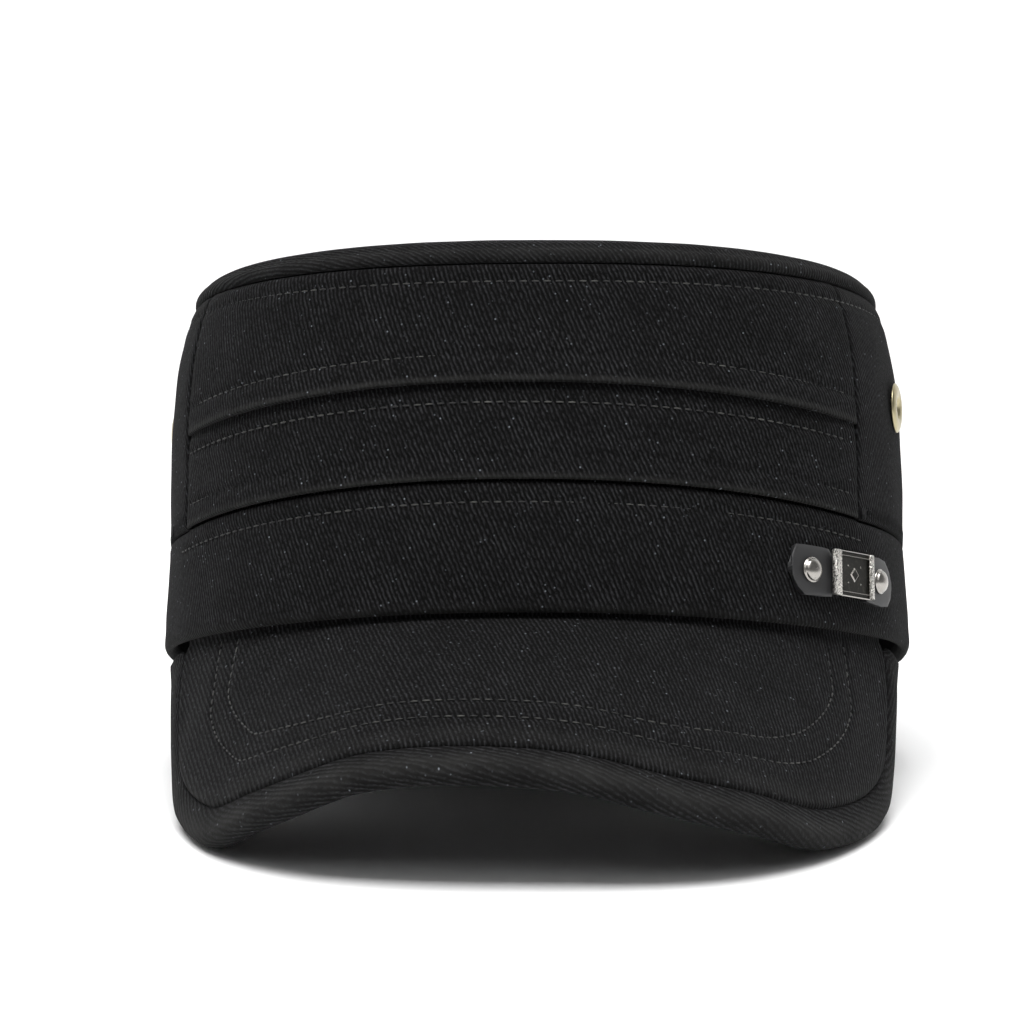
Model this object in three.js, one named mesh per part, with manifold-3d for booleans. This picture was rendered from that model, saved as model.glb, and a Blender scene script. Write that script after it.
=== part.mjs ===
// A flat-top cap of black cotton twill, millimetres, +Z up, front towards -Y.
// The crown is drawn upright with its rim on z = 0, and the finished cap is then
// leaned back until it rests on the two corners of its brim and the back of its rim.
import * as THREE from 'three';
import { mergeVertices } from 'three/addons/utils/BufferGeometryUtils.js';
import Module from 'manifold-3d';

const wasm = await Module();
wasm.setup();

// Driving dimensions
const rimHalfWidth = 87.5;
const rimHalfLength = 99.5;
const ovalPower = 2.25;
const topHalfWidth = 81.6;
const topHalfLength = 93.2;
const topForward = 1.8;
const sideBowPower = 7;
const frontHeight = 78.5;
const backHeight = 86;
const topSeamBow = 1.2;
const topRollWidth = 12;
const topCrest = 6.5;
const topDome = 1.6;
const cloth = 2;
const gap = 0.3;

const sideSeamTurn = 59.5;
const seamSkew = -4;
const upperTuckHeight = 52;
const lowerTuckHeight = 30.2;
const tuckDroop = 3.6;
const lipProud = 1.7;
const lipDepth = 5;
const tuckRecess = 0.5;

const bandThickness = 2.8;
const bandFlare = 0.9;
const bandEdgeRound = 1.1;
const bandFrontLift = 1.3;
const bandSideLift = 1.5;

const brimReach = 57.3;
const brimCentreDrop = 35.3;
const brimCornerDrop = 48;
const brimThickness = 5.6;
const brimArchShift = 12.9;
const brimEndTurn = 68;
const flangeHeight = 8;
const edgeStripWidth = 8.5;

const badgeSideEyeletTurn = 73;
const plainSideEyeletTurn = -92;
const eyeletHeight = 56.5;
const eyeletDiameter = 11.6;
const eyeletHole = 5;
const eyeletProud = 1.3;

const strapTurn = 49.4;
const strapHeight = 12.8;
const strapWidth = 11.2;
const strapThickness = 1.6;
const strapChamfer = 3.5;
const strapFrontTail = 5.6;
const strapRearTail = 7.4;
const plateLength = 15.4;
const plateWidth = 10.2;
const plateThickness = 1.4;
const plateFrame = 0.8;
const rivetDiameter = 5.8;
const rivetDome = 1.8;
const rivetSpacing = 26.4;

const floorFlat = 0.6;

// How the oval is divided for drawing
const aroundSteps = 60;
const frontSteps = 24;
const brimSteps = 44;
const drawnTolerance = 0.03;

// Outer edge of the brim, by turn from the front centre: how far it reaches out from the
// rim as a share of brimReach, how far it hangs between the drop of the centre (0) and of
// the corners (1), and what is left of that drop as the edge runs up to the rim.
const brimEdgeRows = [
  { turn: 0, reach: 1.0, corner: 0.0, hang: 1.0 },
  { turn: 8, reach: 0.99, corner: 0.12, hang: 1.0 },
  { turn: 16, reach: 0.91, corner: 0.52, hang: 1.0 },
  { turn: 24, reach: 0.74, corner: 0.82, hang: 1.0 },
  { turn: 30, reach: 0.6, corner: 1.0, hang: 1.0 },
  { turn: 36, reach: 0.468, corner: 1.0, hang: 0.97 },
  { turn: 42, reach: 0.35, corner: 1.0, hang: 0.92 },
  { turn: 48, reach: 0.252, corner: 1.0, hang: 0.84 },
  { turn: 54, reach: 0.165, corner: 1.0, hang: 0.71 },
  { turn: 60, reach: 0.1, corner: 1.0, hang: 0.46 },
  { turn: 65, reach: 0.058, corner: 1.0, hang: 0.2 },
  { turn: 68, reach: 0.035, corner: 1.0, hang: 0.06 },
];

const rad = THREE.MathUtils.degToRad;
const { lerp, clamp } = THREE.MathUtils;

// Value of one column of a table at a turn, as a smooth curve through its rows
function fromRows(rows, column, turn) {
  const last = rows.length - 1;
  const i = clamp(rows.findIndex((row) => row.turn > turn) - 1, 0, last - 1);
  const k = turn >= rows[last].turn ? last - 1 : i;
  const slope = (n) => {
    const a = rows[Math.max(n - 1, 0)];
    const b = rows[Math.min(n + 1, last)];
    return (b[column] - a[column]) / (b.turn - a.turn);
  };
  const start = rows[k];
  const end = rows[k + 1];
  const span = end.turn - start.turn;
  const t = clamp((turn - start.turn) / span, 0, 1);
  const startSlope = k === 0 ? 0 : slope(k);
  return start[column] * (2 * t ** 3 - 3 * t ** 2 + 1) + end[column] * (3 * t ** 2 - 2 * t ** 3)
    + span * (startSlope * (t ** 3 - 2 * t ** 2 + t) + slope(k + 1) * (t ** 3 - t ** 2));
}

// Shares of the half width and half length that a turn reaches on the oval
function ovalShares(turn) {
  const s = Math.sin(rad(turn));
  const c = Math.cos(rad(turn));
  const power = 2 / ovalPower;
  return { across: Math.sign(s) * Math.abs(s) ** power, ahead: Math.sign(c) * Math.abs(c) ** power };
}

// 0 at the middle of the front bands and 1 at a side seam and beyond
function towardsSeam(turn) {
  const fromMiddle = turn - seamSkew;
  const wrapped = Math.abs(THREE.MathUtils.euclideanModulo(fromMiddle + 180, 360) - 180);
  const seam = ovalShares(sideSeamTurn).across;
  return wrapped >= sideSeamTurn ? 1 : (Math.abs(ovalShares(fromMiddle).across) / seam) ** 2;
}

function topSeamHeight(turn) {
  const { across, ahead } = ovalShares(turn);
  return lerp(backHeight, frontHeight, (1 + ahead) / 2) + topSeamBow * across ** 2;
}

const upperTuck = (turn) => upperTuckHeight - tuckDroop * towardsSeam(turn);
const lowerTuck = (turn) => lowerTuckHeight - tuckDroop * towardsSeam(turn);

function bandBottom(turn) {
  const side = Math.abs(ovalShares(turn).across) ** 6;
  return bandFrontLift * (1 - towardsSeam(turn)) + bandSideLift * side;
}

// A point on the crown's wall, moved out from it along the level normal
function wallPoint(turn, height, out) {
  const { across, ahead } = ovalShares(turn);
  const share = clamp(height / topSeamHeight(turn), 0, 1);
  const halfWidth = lerp(rimHalfWidth, topHalfWidth, share ** sideBowPower);
  const halfLength = lerp(rimHalfLength, topHalfLength, share);
  const nx = (Math.sign(across) * Math.abs(across) ** (ovalPower - 1)) / halfWidth;
  const ny = (-Math.sign(ahead) * Math.abs(ahead) ** (ovalPower - 1)) / halfLength;
  const size = Math.hypot(nx, ny);
  return new THREE.Vector3(
    halfWidth * across + (out * nx) / size,
    -topForward * share - halfLength * ahead + (out * ny) / size,
    height,
  );
}

// A closed body from rings of points, all with as many points; the ends are closed too
function bodyFromRings(rings, joined) {
  const n = rings[0].length;
  const flat = rings.flat();
  const faces = [];
  const spans = joined ? rings.length : rings.length - 1;
  for (let i = 0; i < spans; i += 1) {
    const a = i * n;
    const b = ((i + 1) % rings.length) * n;
    for (let j = 0; j < n; j += 1) {
      const k = (j + 1) % n;
      faces.push([a + j, b + j, b + k], [a + j, b + k, a + k]);
    }
  }
  if (!joined) {
    const start = 0;
    const end = (rings.length - 1) * n;
    for (let j = 1; j < n / 2; j += 1) {
      const far = n - j;
      faces.push([start + j - 1, start + j, start + (far % n)], [end + j, end + j - 1, end + (far % n)]);
      if (far !== j && far - 1 !== j) {
        faces.push([start + j, start + far - 1, start + (far % n)]);
        faces.push([end + far - 1, end + j, end + (far % n)]);
      }
    }
  }
  return turnedOutward(flat, faces);
}

function turnedOutward(points, faces) {
  let volume = 0;
  for (const [a, b, c] of faces) {
    volume += points[a].dot(new THREE.Vector3().crossVectors(points[b], points[c]));
  }
  const geometry = new THREE.BufferGeometry();
  geometry.setAttribute('position', new THREE.Float32BufferAttribute(points.flatMap((p) => p.toArray()), 3));
  geometry.setIndex(faces.flatMap((f) => (volume > 0 ? f : [f[0], f[2], f[1]])));
  return geometry;
}

function solidOf(geometry) {
  const bare = geometry.clone();
  bare.deleteAttribute('normal');
  bare.deleteAttribute('uv');
  const merged = mergeVertices(bare, 1e-4);
  return new wasm.Manifold(new wasm.Mesh({
    numProp: 3,
    vertProperties: Float32Array.from(merged.attributes.position.array),
    triVerts: Uint32Array.from(merged.index.array),
  }));
}

function geometryOf(solid) {
  const mesh = solid.getMesh();
  const geometry = new THREE.BufferGeometry();
  geometry.setAttribute('position', new THREE.Float32BufferAttribute(mesh.vertProperties, 3));
  geometry.setIndex(Array.from(mesh.triVerts));
  return geometry;
}

// A cloth piece swept round the crown: section(turn) lists { out, up } points, the outer
// face from top to bottom and then the inner face from bottom to top
function sweptPiece(section, fromTurn, toTurn, steps) {
  const joined = toTurn - fromTurn >= 360;
  const rings = [];
  for (let i = 0; i < (joined ? steps : steps + 1); i += 1) {
    const turn = lerp(fromTurn, toTurn, i / steps);
    rings.push(section(turn).map(({ out, up }) => wallPoint(turn, up, out)));
  }
  return bodyFromRings(rings, joined);
}

// Half the gap at a side seam, as a turn
const seamGapTurn = (gap / 2) * turnPerLength(sideSeamTurn, upperTuckHeight);

function frontBandSection(top, low, recess) {
  const drop = top - low - lipDepth;
  return [
    { out: -recess, up: top },
    { out: 0, up: top - drop * 0.25 },
    { out: 0, up: top - drop * 0.65 },
    { out: lipProud * 0.1, up: low + lipDepth },
    { out: lipProud * 0.8, up: low + lipDepth * 0.6 },
    { out: lipProud, up: low + lipDepth * 0.3 },
    { out: lipProud * 0.6, up: low },
    { out: -cloth, up: low },
    { out: -cloth, up: low + lipDepth * 0.3 },
    { out: -cloth, up: low + lipDepth * 0.6 },
    { out: -cloth, up: low + lipDepth },
    { out: -cloth, up: top - drop * 0.65 },
    { out: -cloth, up: top - drop * 0.25 },
    { out: -cloth - recess, up: top },
  ];
}

function frontBand(topAt, lowAt, recess) {
  const half = sideSeamTurn - seamGapTurn;
  const section = (turn) => frontBandSection(topAt(turn), lowAt(turn), recess);
  return sweptPiece(section, seamSkew - half, seamSkew + half, frontSteps);
}

function crownBack() {
  const upShares = [1, 0.86, 0.7, 0.5, 0.25, 0];
  const section = (turn) => {
    const top = topSeamHeight(turn);
    const low = lowerTuck(turn) + gap;
    const outer = upShares.map((s) => ({ out: 0, up: lerp(low, top, s) }));
    const inner = upShares.map((s) => ({ out: -cloth, up: lerp(low, top, s) })).reverse();
    return [...outer, ...inner];
  };
  const half = sideSeamTurn + seamGapTurn;
  const panel = sweptPiece(section, seamSkew + half, seamSkew + 360 - half, aroundSteps - frontSteps + 6);
  let solid = solidOf(panel);
  for (const turn of [badgeSideEyeletTurn, plainSideEyeletTurn]) {
    const bore = new THREE.CylinderGeometry(eyeletHole / 2 + gap, eyeletHole / 2 + gap, cloth * 6, 16);
    bore.applyMatrix4(seat(turn, eyeletHeight, 0));
    solid = solid.subtract(solidOf(bore));
  }
  return geometryOf(solid);
}

const bandTop = (turn) => lowerTuck(turn) - gap;

// How far the band's outer face stands out of the crown's wall at a height
function bandFace(turn, height) {
  const share = (height - bandBottom(turn)) / (bandTop(turn) - bandBottom(turn));
  if (share > 0.6) return lerp(bandFlare * 0.5, 0, (share - 0.6) / 0.4);
  return lerp(bandFlare, bandFlare * 0.5, clamp((share - 0.25) / 0.35, 0, 1));
}

function outerBand() {
  const section = (turn) => {
    const top = bandTop(turn);
    const low = bandBottom(turn);
    const level = (share) => {
      const up = lerp(low, top, share);
      return { out: bandFace(turn, up), up };
    };
    const outer = [level(1), level(0.6), level(0.25), { out: bandFlare, up: low + bandEdgeRound }];
    const inner = outer.map(({ out, up }) => ({ out: out - bandThickness, up })).reverse();
    return [
      ...outer,
      { out: bandFlare - bandEdgeRound, up: low },
      { out: bandFlare - bandThickness + bandEdgeRound * 0.7, up: low },
      ...inner,
    ];
  };
  return sweptPiece(section, -180, 180, aroundSteps);
}

// The top panel: a padded roll just above the seam, then a slightly domed flat
function crownTop() {
  const inset = (share) => 1 - share / topHalfWidth;
  const rows = [0, 25, 48, 70, 90].map((angle) => ({
    radius: inset(topRollWidth * (1 - Math.cos(rad(angle)))),
    rise: gap + topCrest * Math.sin(rad(angle)),
  }));
  rows.push({ radius: 0.6, rise: topCrest + topDome * 0.6 }, { radius: 0.3, rise: topCrest + topDome * 0.95 });
  const under = rows.map(({ radius, rise }, i) => ({
    radius: i < 5 ? Math.max(radius - (cloth / topHalfWidth) * (1 - i / 5), 0.1) : radius,
    rise: Math.max(rise - cloth * Math.min(1, i / 3), gap),
  }));
  const level = (turn, { radius, rise }) => {
    const seam = wallPoint(turn, topSeamHeight(turn), 0);
    const plane = lerp(backHeight, frontHeight, (1 + ovalShares(turn).ahead * radius) / 2);
    const bow = (seam.z - lerp(backHeight, frontHeight, (1 + ovalShares(turn).ahead) / 2)) * radius;
    return new THREE.Vector3(seam.x * radius, (seam.y + topForward) * radius - topForward, plane + bow + rise);
  };
  const middle = (frontHeight + backHeight) / 2 + gap + topCrest + topDome;
  const points = [];
  const faces = [];
  for (const list of [rows, under]) {
    for (const row of list) {
      for (let i = 0; i < aroundSteps; i += 1) points.push(level((360 * i) / aroundSteps, row));
    }
    points.push(new THREE.Vector3(0, -topForward, list === rows ? middle : middle - cloth));
  }
  const skin = rows.length * aroundSteps + 1;
  const upFace = (a, b, c) => faces.push([a, b, c]);
  const downFace = (a, b, c) => faces.push([skin + a, skin + c, skin + b]);
  for (const face of [upFace, downFace]) {
    for (let i = 0; i < aroundSteps; i += 1) {
      const next = (i + 1) % aroundSteps;
      for (let r = 0; r < rows.length - 1; r += 1) {
        const a = r * aroundSteps;
        const b = a + aroundSteps;
        face(a + i, a + next, b + next);
        face(a + i, b + next, b + i);
      }
      const last = (rows.length - 1) * aroundSteps;
      face(last + i, last + next, skin - 1);
    }
  }
  for (let i = 0; i < aroundSteps; i += 1) {
    const next = (i + 1) % aroundSteps;
    faces.push([i, skin + next, next], [i, skin + i, skin + next]);
  }
  return turnedOutward(points, faces);
}

// The brim's outer edge at a turn, on its upper face
function brimEdgePoint(turn) {
  const side = Math.abs(turn);
  const atEdge = THREE.MathUtils.radToDeg(brimArchShift / (rimHalfLength + brimReach));
  const shift = atEdge * (1 - (turn / brimEndTurn) ** 2);
  const arch = Math.min(Math.abs(turn + shift), brimEndTurn);
  const corner = fromRows(brimEdgeRows, 'corner', arch);
  const drop = lerp(brimCentreDrop, brimCornerDrop, corner) * fromRows(brimEdgeRows, 'hang', side);
  return wallPoint(turn, 0, brimReach * fromRows(brimEdgeRows, 'reach', side)).setZ(-drop);
}

// Frame at the brim's edge: out of the cloth's edge and up from its face
function brimEdgeFrame(turn) {
  const edge = brimEdgePoint(turn);
  const root = wallPoint(turn, 0, -bandThickness);
  const along = brimEdgePoint(turn + 0.5).sub(brimEdgePoint(turn - 0.5)).normalize();
  const up = new THREE.Vector3().crossVectors(edge.clone().sub(root), along).normalize();
  if (up.z < 0) up.negate();
  const out = new THREE.Vector3().crossVectors(along, up).normalize();
  if (out.dot(edge.clone().sub(root)) < 0) out.negate();
  return { edge, up, out, along };
}

// The whole brim before its edge strip is parted from it: a flange inside the band, then
// the stiff arched sheet out to a rounded edge
function brimSheet() {
  const flangeOut = bandFlare - bandThickness - gap;
  const round = brimThickness * 0.3;
  const rings = [];
  for (let i = 0; i <= brimSteps; i += 1) {
    const turn = lerp(-brimEndTurn, brimEndTurn, i / brimSteps);
    const low = bandBottom(turn) - gap * 1.5;
    const { edge, up, out } = brimEdgeFrame(turn);
    const root = wallPoint(turn, low, flangeOut);
    const over = edge.clone().addScaledVector(out, -round);
    const thin = cloth + (brimThickness - cloth) * Math.min(1, edge.distanceTo(root) / 20);
    const face = [0.0, 0.2, 0.45, 0.7, 0.9].map((s) => {
      const camber = 4 * s * (1 - s) * Math.min(2, edge.distanceTo(root) / 30);
      return root.clone().lerp(over, s).addScaledVector(up, camber);
    });
    const backFace = face.map((p) => p.clone().addScaledVector(up, -thin)).reverse();
    const rim = [
      over,
      edge.clone().addScaledVector(up, -round),
      edge.clone().addScaledVector(up, round - thin),
      over.clone().addScaledVector(up, -thin),
    ];
    rings.push([
      wallPoint(turn, low + flangeHeight, flangeOut),
      ...face,
      ...rim,
      ...backFace.slice(0, -1),
      wallPoint(turn, low - cloth, flangeOut - cloth),
      wallPoint(turn, low + flangeHeight, flangeOut - cloth),
    ]);
  }
  return bodyFromRings(rings, false);
}

// Everything within a distance of the brim's edge, as a round tube along it
function edgeTube(radius) {
  const sides = 12;
  const rings = [];
  for (let i = 0; i <= brimSteps; i += 1) {
    const turn = lerp(-brimEndTurn - 4, brimEndTurn + 4, i / brimSteps);
    const { edge, up, along } = brimEdgeFrame(turn);
    const across = new THREE.Vector3().crossVectors(along, up).normalize();
    const ring = [];
    for (let k = 0; k < sides; k += 1) {
      const angle = (2 * Math.PI * k) / sides;
      ring.push(edge.clone().addScaledVector(across, radius * Math.cos(angle))
        .addScaledVector(up, radius * Math.sin(angle)));
    }
    rings.push(ring);
  }
  return bodyFromRings(rings, false);
}

// The matrix that seats a piece made upright on Y = 0 against the crown's wall
function seat(turn, height, out) {
  const place = wallPoint(turn, height, out);
  const outward = wallPoint(turn, height, out + 1).sub(place).normalize();
  const along = wallPoint(turn + 0.5, height, out).sub(wallPoint(turn - 0.5, height, out)).normalize();
  const up = new THREE.Vector3().crossVectors(outward, along).normalize();
  if (up.z < 0) up.negate();
  const side = new THREE.Vector3().crossVectors(outward, up).normalize();
  return new THREE.Matrix4().makeBasis(side, outward, up).setPosition(place);
}

// How far the curved wall stands out of the level plane that touches it at a place,
// anywhere within a radius of that place
function wallRise(turn, height, radius) {
  const toSeat = seat(turn, height, 0).invert();
  const reach = radius * turnPerLength(turn, height);
  let rise = 0;
  for (let i = 0; i < 12; i += 1) {
    const angle = (Math.PI * i) / 6;
    const place = wallPoint(turn + reach * Math.cos(angle), height + radius * Math.sin(angle), 0);
    rise = Math.max(rise, place.applyMatrix4(toSeat).y);
  }
  return rise;
}

function eyelet(turn) {
  const radius = eyeletDiameter / 2;
  const hole = eyeletHole / 2;
  const profile = [
    [hole - 0.6, -cloth - gap - 0.6], [hole, -cloth - gap - 0.6], [hole, gap],
    [radius, gap], [radius, gap + 0.5], [radius - 1.2, eyeletProud],
    [hole + 0.3, eyeletProud], [hole - 0.6, gap + 0.3], [hole - 0.6, -cloth - gap - 0.6],
  ].map(([r, y]) => new THREE.Vector2(r, y));
  const ring = new THREE.LatheGeometry(profile, 20);
  ring.applyMatrix4(seat(turn, eyeletHeight, wallRise(turn, eyeletHeight, radius)));
  return geometryOf(solidOf(ring));
}

// Degrees of turn for each millimetre round the wall at a place
function turnPerLength(turn, height) {
  return 1 / wallPoint(turn + 0.5, height, 0).distanceTo(wallPoint(turn - 0.5, height, 0));
}

// Turn of a point that lies a length along the band from the strap's middle
const strapTurnAt = (along) => strapTurn + along * turnPerLength(strapTurn, strapHeight);
const strapSurface = (turn, height = strapHeight) => bandFace(turn, height) + gap + 0.1;

// The leather strap, bent round the band, its ends chamfered
function badgeStrap() {
  const front = -rivetSpacing / 2 - strapFrontTail;
  const rear = rivetSpacing / 2 + strapRearTail;
  const stations = [front, front + strapChamfer * 0.4];
  for (let i = 0; i <= 6; i += 1) stations.push(lerp(front + strapChamfer, rear - strapChamfer, i / 6));
  stations.push(rear - strapChamfer * 0.4, rear);
  const rings = stations.map((along) => {
    const turn = strapTurnAt(along);
    const cut = Math.max(0, front + strapChamfer - along, along - rear + strapChamfer) * 0.7;
    const levels = [1, 0, -1].map((k) => strapHeight + k * (strapWidth / 2 - cut));
    const under = levels.map((up) => wallPoint(turn, up, strapSurface(turn, up)));
    const face = levels.map((up) => wallPoint(turn, up, strapSurface(turn, up) + strapThickness));
    return [...face, ...under.reverse()];
  });
  return bodyFromRings(rings, false);
}

// The metal plate across the strap: a flat face with a raised frame
function badgePlate() {
  const face = strapSurface(strapTurn, strapHeight - plateWidth / 2) + strapThickness + gap;
  const outer = new THREE.BoxGeometry(plateLength, plateThickness, plateWidth);
  outer.translate(0, plateThickness / 2, 0);
  const rail = plateFrame * 2;
  const sunk = new THREE.BoxGeometry(plateLength - 2 * rail, plateThickness, plateWidth - 2 * plateFrame);
  sunk.translate(0, plateThickness * 1.2, 0);
  const plate = geometryOf(solidOf(outer).subtract(solidOf(sunk)));
  plate.applyMatrix4(seat(strapTurn, strapHeight, face));
  return plate;
}

function rivet(along) {
  const turn = strapTurnAt(along);
  const radius = rivetDiameter / 2;
  const profile = [[0, 0], [radius, 0], [radius, 0.4]];
  for (let i = 1; i <= 4; i += 1) {
    const angle = rad(22.5 * i);
    profile.push([i === 4 ? 0 : radius * Math.cos(angle), 0.4 + (rivetDome - 0.4) * Math.sin(angle)]);
  }
  const dome = new THREE.LatheGeometry(profile.map(([r, y]) => new THREE.Vector2(r, y)), 20);
  dome.applyMatrix4(seat(turn, strapHeight, strapSurface(turn) + strapThickness + gap));
  return geometryOf(solidOf(dome));
}

const twill = { color: 0x232323, roughness: 0.95, metalness: 0 };
const leather = { color: 0x3a3a3b, roughness: 0.55, metalness: 0 };
const silver = { color: 0xb9b7b2, roughness: 0.25, metalness: 1 };
const brass = { color: 0xc9b98a, roughness: 0.35, metalness: 1 };

// Lean back so that the brim's corners and the back of the rim stand on one level
function restLean(points) {
  const heel = wallPoint(180, 0, bandFlare - bandEdgeRound);
  return Math.max(...points.map((p) => Math.atan2(heel.z - p.z, heel.y - p.y)));
}

const sheet = solidOf(brimSheet());
const stripTube = solidOf(edgeTube(edgeStripWidth));
const stripClear = solidOf(edgeTube(edgeStripWidth + gap));
const bandClear = solidOf(sweptPiece((turn) => [
  { out: brimReach, up: bandBottom(turn) + flangeHeight * 2 },
  { out: brimReach, up: bandBottom(turn) - gap },
  { out: bandFlare - bandThickness - gap / 2, up: bandBottom(turn) - gap },
  { out: bandFlare - bandThickness - gap / 2, up: bandBottom(turn) + flangeHeight * 2 },
], -180, 180, aroundSteps));
const brimBody = sheet.subtract(stripClear).subtract(bandClear).simplify(drawnTolerance);
const brimStrip = sheet.intersect(stripTube).subtract(bandClear).simplify(drawnTolerance);

const pieces = [
  ['crown_top', crownTop(), twill],
  ['front_band_upper', frontBand(topSeamHeight, upperTuck, 0), twill],
  ['front_band_lower', frontBand((turn) => upperTuck(turn) - gap, (turn) => lowerTuck(turn) + gap, tuckRecess), twill],
  ['crown_back', crownBack(), twill],
  ['outer_band', outerBand(), twill],
  ['brim', geometryOf(brimBody), twill],
  ['brim_edge', geometryOf(brimStrip), twill],
  ['badge_strap', badgeStrap(), leather],
  ['badge_plate', badgePlate(), silver],
  ['badge_rivet_front', rivet(-rivetSpacing / 2), silver],
  ['badge_rivet_rear', rivet(rivetSpacing / 2), silver],
  ['eyelet_left', eyelet(badgeSideEyeletTurn), brass],
  ['eyelet_right', eyelet(plainSideEyeletTurn), brass],
];

// Lean the pieces back, let them down until the lowest cloth is pressed flat, and put
// the middle of the whole cap over the origin
const brimPoints = [];
const stripPositions = geometryOf(brimStrip).attributes.position;
for (let i = 0; i < stripPositions.count; i += 1) {
  brimPoints.push(new THREE.Vector3().fromBufferAttribute(stripPositions, i));
}
const lean = new THREE.Matrix4().makeRotationX(-restLean(brimPoints));
const box = new THREE.Box3();
for (const [, geometry] of pieces) {
  geometry.applyMatrix4(lean);
  geometry.computeBoundingBox();
  box.union(geometry.boundingBox);
}
const middle = box.getCenter(new THREE.Vector3());
const settle = new THREE.Matrix4().makeTranslation(-middle.x, -middle.y, -box.min.z - floorFlat);
const underFloor = new THREE.BoxGeometry(1000, 1000, 100);
underFloor.translate(0, 0, -50);
const pressed = ['outer_band', 'brim_edge'];

const cap = new THREE.Group();
for (const [name, geometry, finish] of pieces) {
  geometry.applyMatrix4(settle);
  const rested = pressed.includes(name)
    ? geometryOf(solidOf(geometry).subtract(solidOf(underFloor))) : geometry;
  const mesh = new THREE.Mesh(rested, new THREE.MeshStandardMaterial(finish));
  mesh.name = name;
  cap.add(mesh);
}

export default cap;
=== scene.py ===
import math
from collections import namedtuple

import bmesh
import bpy
from bpy.props import FloatProperty, PointerProperty, StringProperty
from mathutils import Matrix, Vector, noise
from mathutils.kdtree import KDTree


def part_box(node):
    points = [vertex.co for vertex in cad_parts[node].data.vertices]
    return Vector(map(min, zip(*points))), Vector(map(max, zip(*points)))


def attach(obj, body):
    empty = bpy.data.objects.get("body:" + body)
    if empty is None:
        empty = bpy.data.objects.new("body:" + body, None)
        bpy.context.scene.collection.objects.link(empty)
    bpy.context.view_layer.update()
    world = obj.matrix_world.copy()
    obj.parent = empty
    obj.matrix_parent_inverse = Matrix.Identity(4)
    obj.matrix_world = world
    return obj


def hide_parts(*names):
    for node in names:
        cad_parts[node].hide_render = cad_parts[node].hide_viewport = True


bl_info = {
    "name": "Flat-top cap",
    "version": (1, 0, 0),
    "blender": (4, 5, 0),
    "location": "3D View > Sidebar > Cap",
    "description": "Dresses the solids of a black twill flat-top cap in cloth, stitches and metal",
    "category": "Object",
}

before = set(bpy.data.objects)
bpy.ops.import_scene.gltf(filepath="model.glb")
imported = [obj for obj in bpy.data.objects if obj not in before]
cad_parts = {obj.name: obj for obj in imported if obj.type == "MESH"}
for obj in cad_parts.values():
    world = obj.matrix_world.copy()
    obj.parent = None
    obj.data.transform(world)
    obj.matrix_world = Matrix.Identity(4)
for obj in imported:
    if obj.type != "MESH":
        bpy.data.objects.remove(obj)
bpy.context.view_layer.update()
MM = 0.001

# Turns are in degrees round the crown from its front centre, and grow towards the badge.
EdgeRow = namedtuple("EdgeRow", "turn reach corner hang")
BrimSection = namedtuple("BrimSection", "edge root out up low")
PanelSpec = namedtuple("PanelSpec", "start end columns spacing section slack seamed wear")

# The brim's outer edge: how far it reaches out as a share of the full reach, how far it hangs
# between the drop of the centre (0) and of the corners (1), and what is left of that drop.
BRIM_EDGE = (
    EdgeRow(turn=0, reach=1.0, corner=0.0, hang=1.0),
    EdgeRow(turn=8, reach=0.99, corner=0.12, hang=1.0),
    EdgeRow(turn=16, reach=0.91, corner=0.52, hang=1.0),
    EdgeRow(turn=24, reach=0.74, corner=0.82, hang=1.0),
    EdgeRow(turn=30, reach=0.6, corner=1.0, hang=1.0),
    EdgeRow(turn=36, reach=0.468, corner=1.0, hang=0.97),
    EdgeRow(turn=42, reach=0.35, corner=1.0, hang=0.92),
    EdgeRow(turn=48, reach=0.252, corner=1.0, hang=0.84),
    EdgeRow(turn=54, reach=0.165, corner=1.0, hang=0.71),
    EdgeRow(turn=60, reach=0.1, corner=1.0, hang=0.46),
    EdgeRow(turn=65, reach=0.058, corner=1.0, hang=0.2),
    EdgeRow(turn=68, reach=0.035, corner=1.0, hang=0.06),
)

# The folded lip at the foot of a front band, from inside the fold to the plain cloth above it:
# how far out of the wall, and how far above the fold's lowest line, in millimetres.
LIP = (
    (-1.3, 0.7), (-0.5, 0.12), (0.2, 0.0), (0.8, 0.1), (1.08, 0.5), (1.0, 1.1),
    (0.76, 1.8), (0.66, 2.6), (0.56, 3.6), (0.36, 5.2), (0.1, 7.5),
)
# The top edge of a front band where it goes up behind the lip above it: out, and below the top.
BEHIND_LIP = ((0.0, 9.0), (-0.1, 7.0), (-0.35, 4.6), (-0.7, 2.6), (-1.05, 1.2), (-1.4, 0.0))
# The top edge of cloth that is sewn into the seam under the top panel.
INTO_SEAM = ((0.0, 9.0), (0.05, 5.0), (0.15, 2.4), (0.1, 1.0), (-0.15, 0.3), (-0.8, 0.0))
# The top panel from inside its seam up over the padded roll: out of the wall, above the seam.
TOP_ROLL = (
    (-0.8, 0.2), (-0.15, 0.3), (0.12, 0.9), (0.15, 1.9), (-0.25, 2.9), (-0.95, 3.75),
    (-2.0, 4.6), (-3.7, 5.5), (-5.6, 6.15), (-7.8, 6.6), (-10.0, 6.85), (-12.0, 6.9),
)
# The outer band's turned hem, from inside it round its foot: out, and above the hem.
HEM = (
    (-1.9, 3.0), (-1.6, 1.2), (-0.9, 0.25), (-0.1, 0.0), (0.6, 0.35), (0.95, 1.2), (1.0, 2.6),
    (0.85, 5.0),
)


def lerp(a, b, t):
    """The value a share t of the way from a to b."""
    return a + (b - a) * t


def bell(distance, width):
    """1 on the line, and falling away smoothly to nothing over about twice the width."""
    return math.exp(-((distance / width) ** 2))


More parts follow.
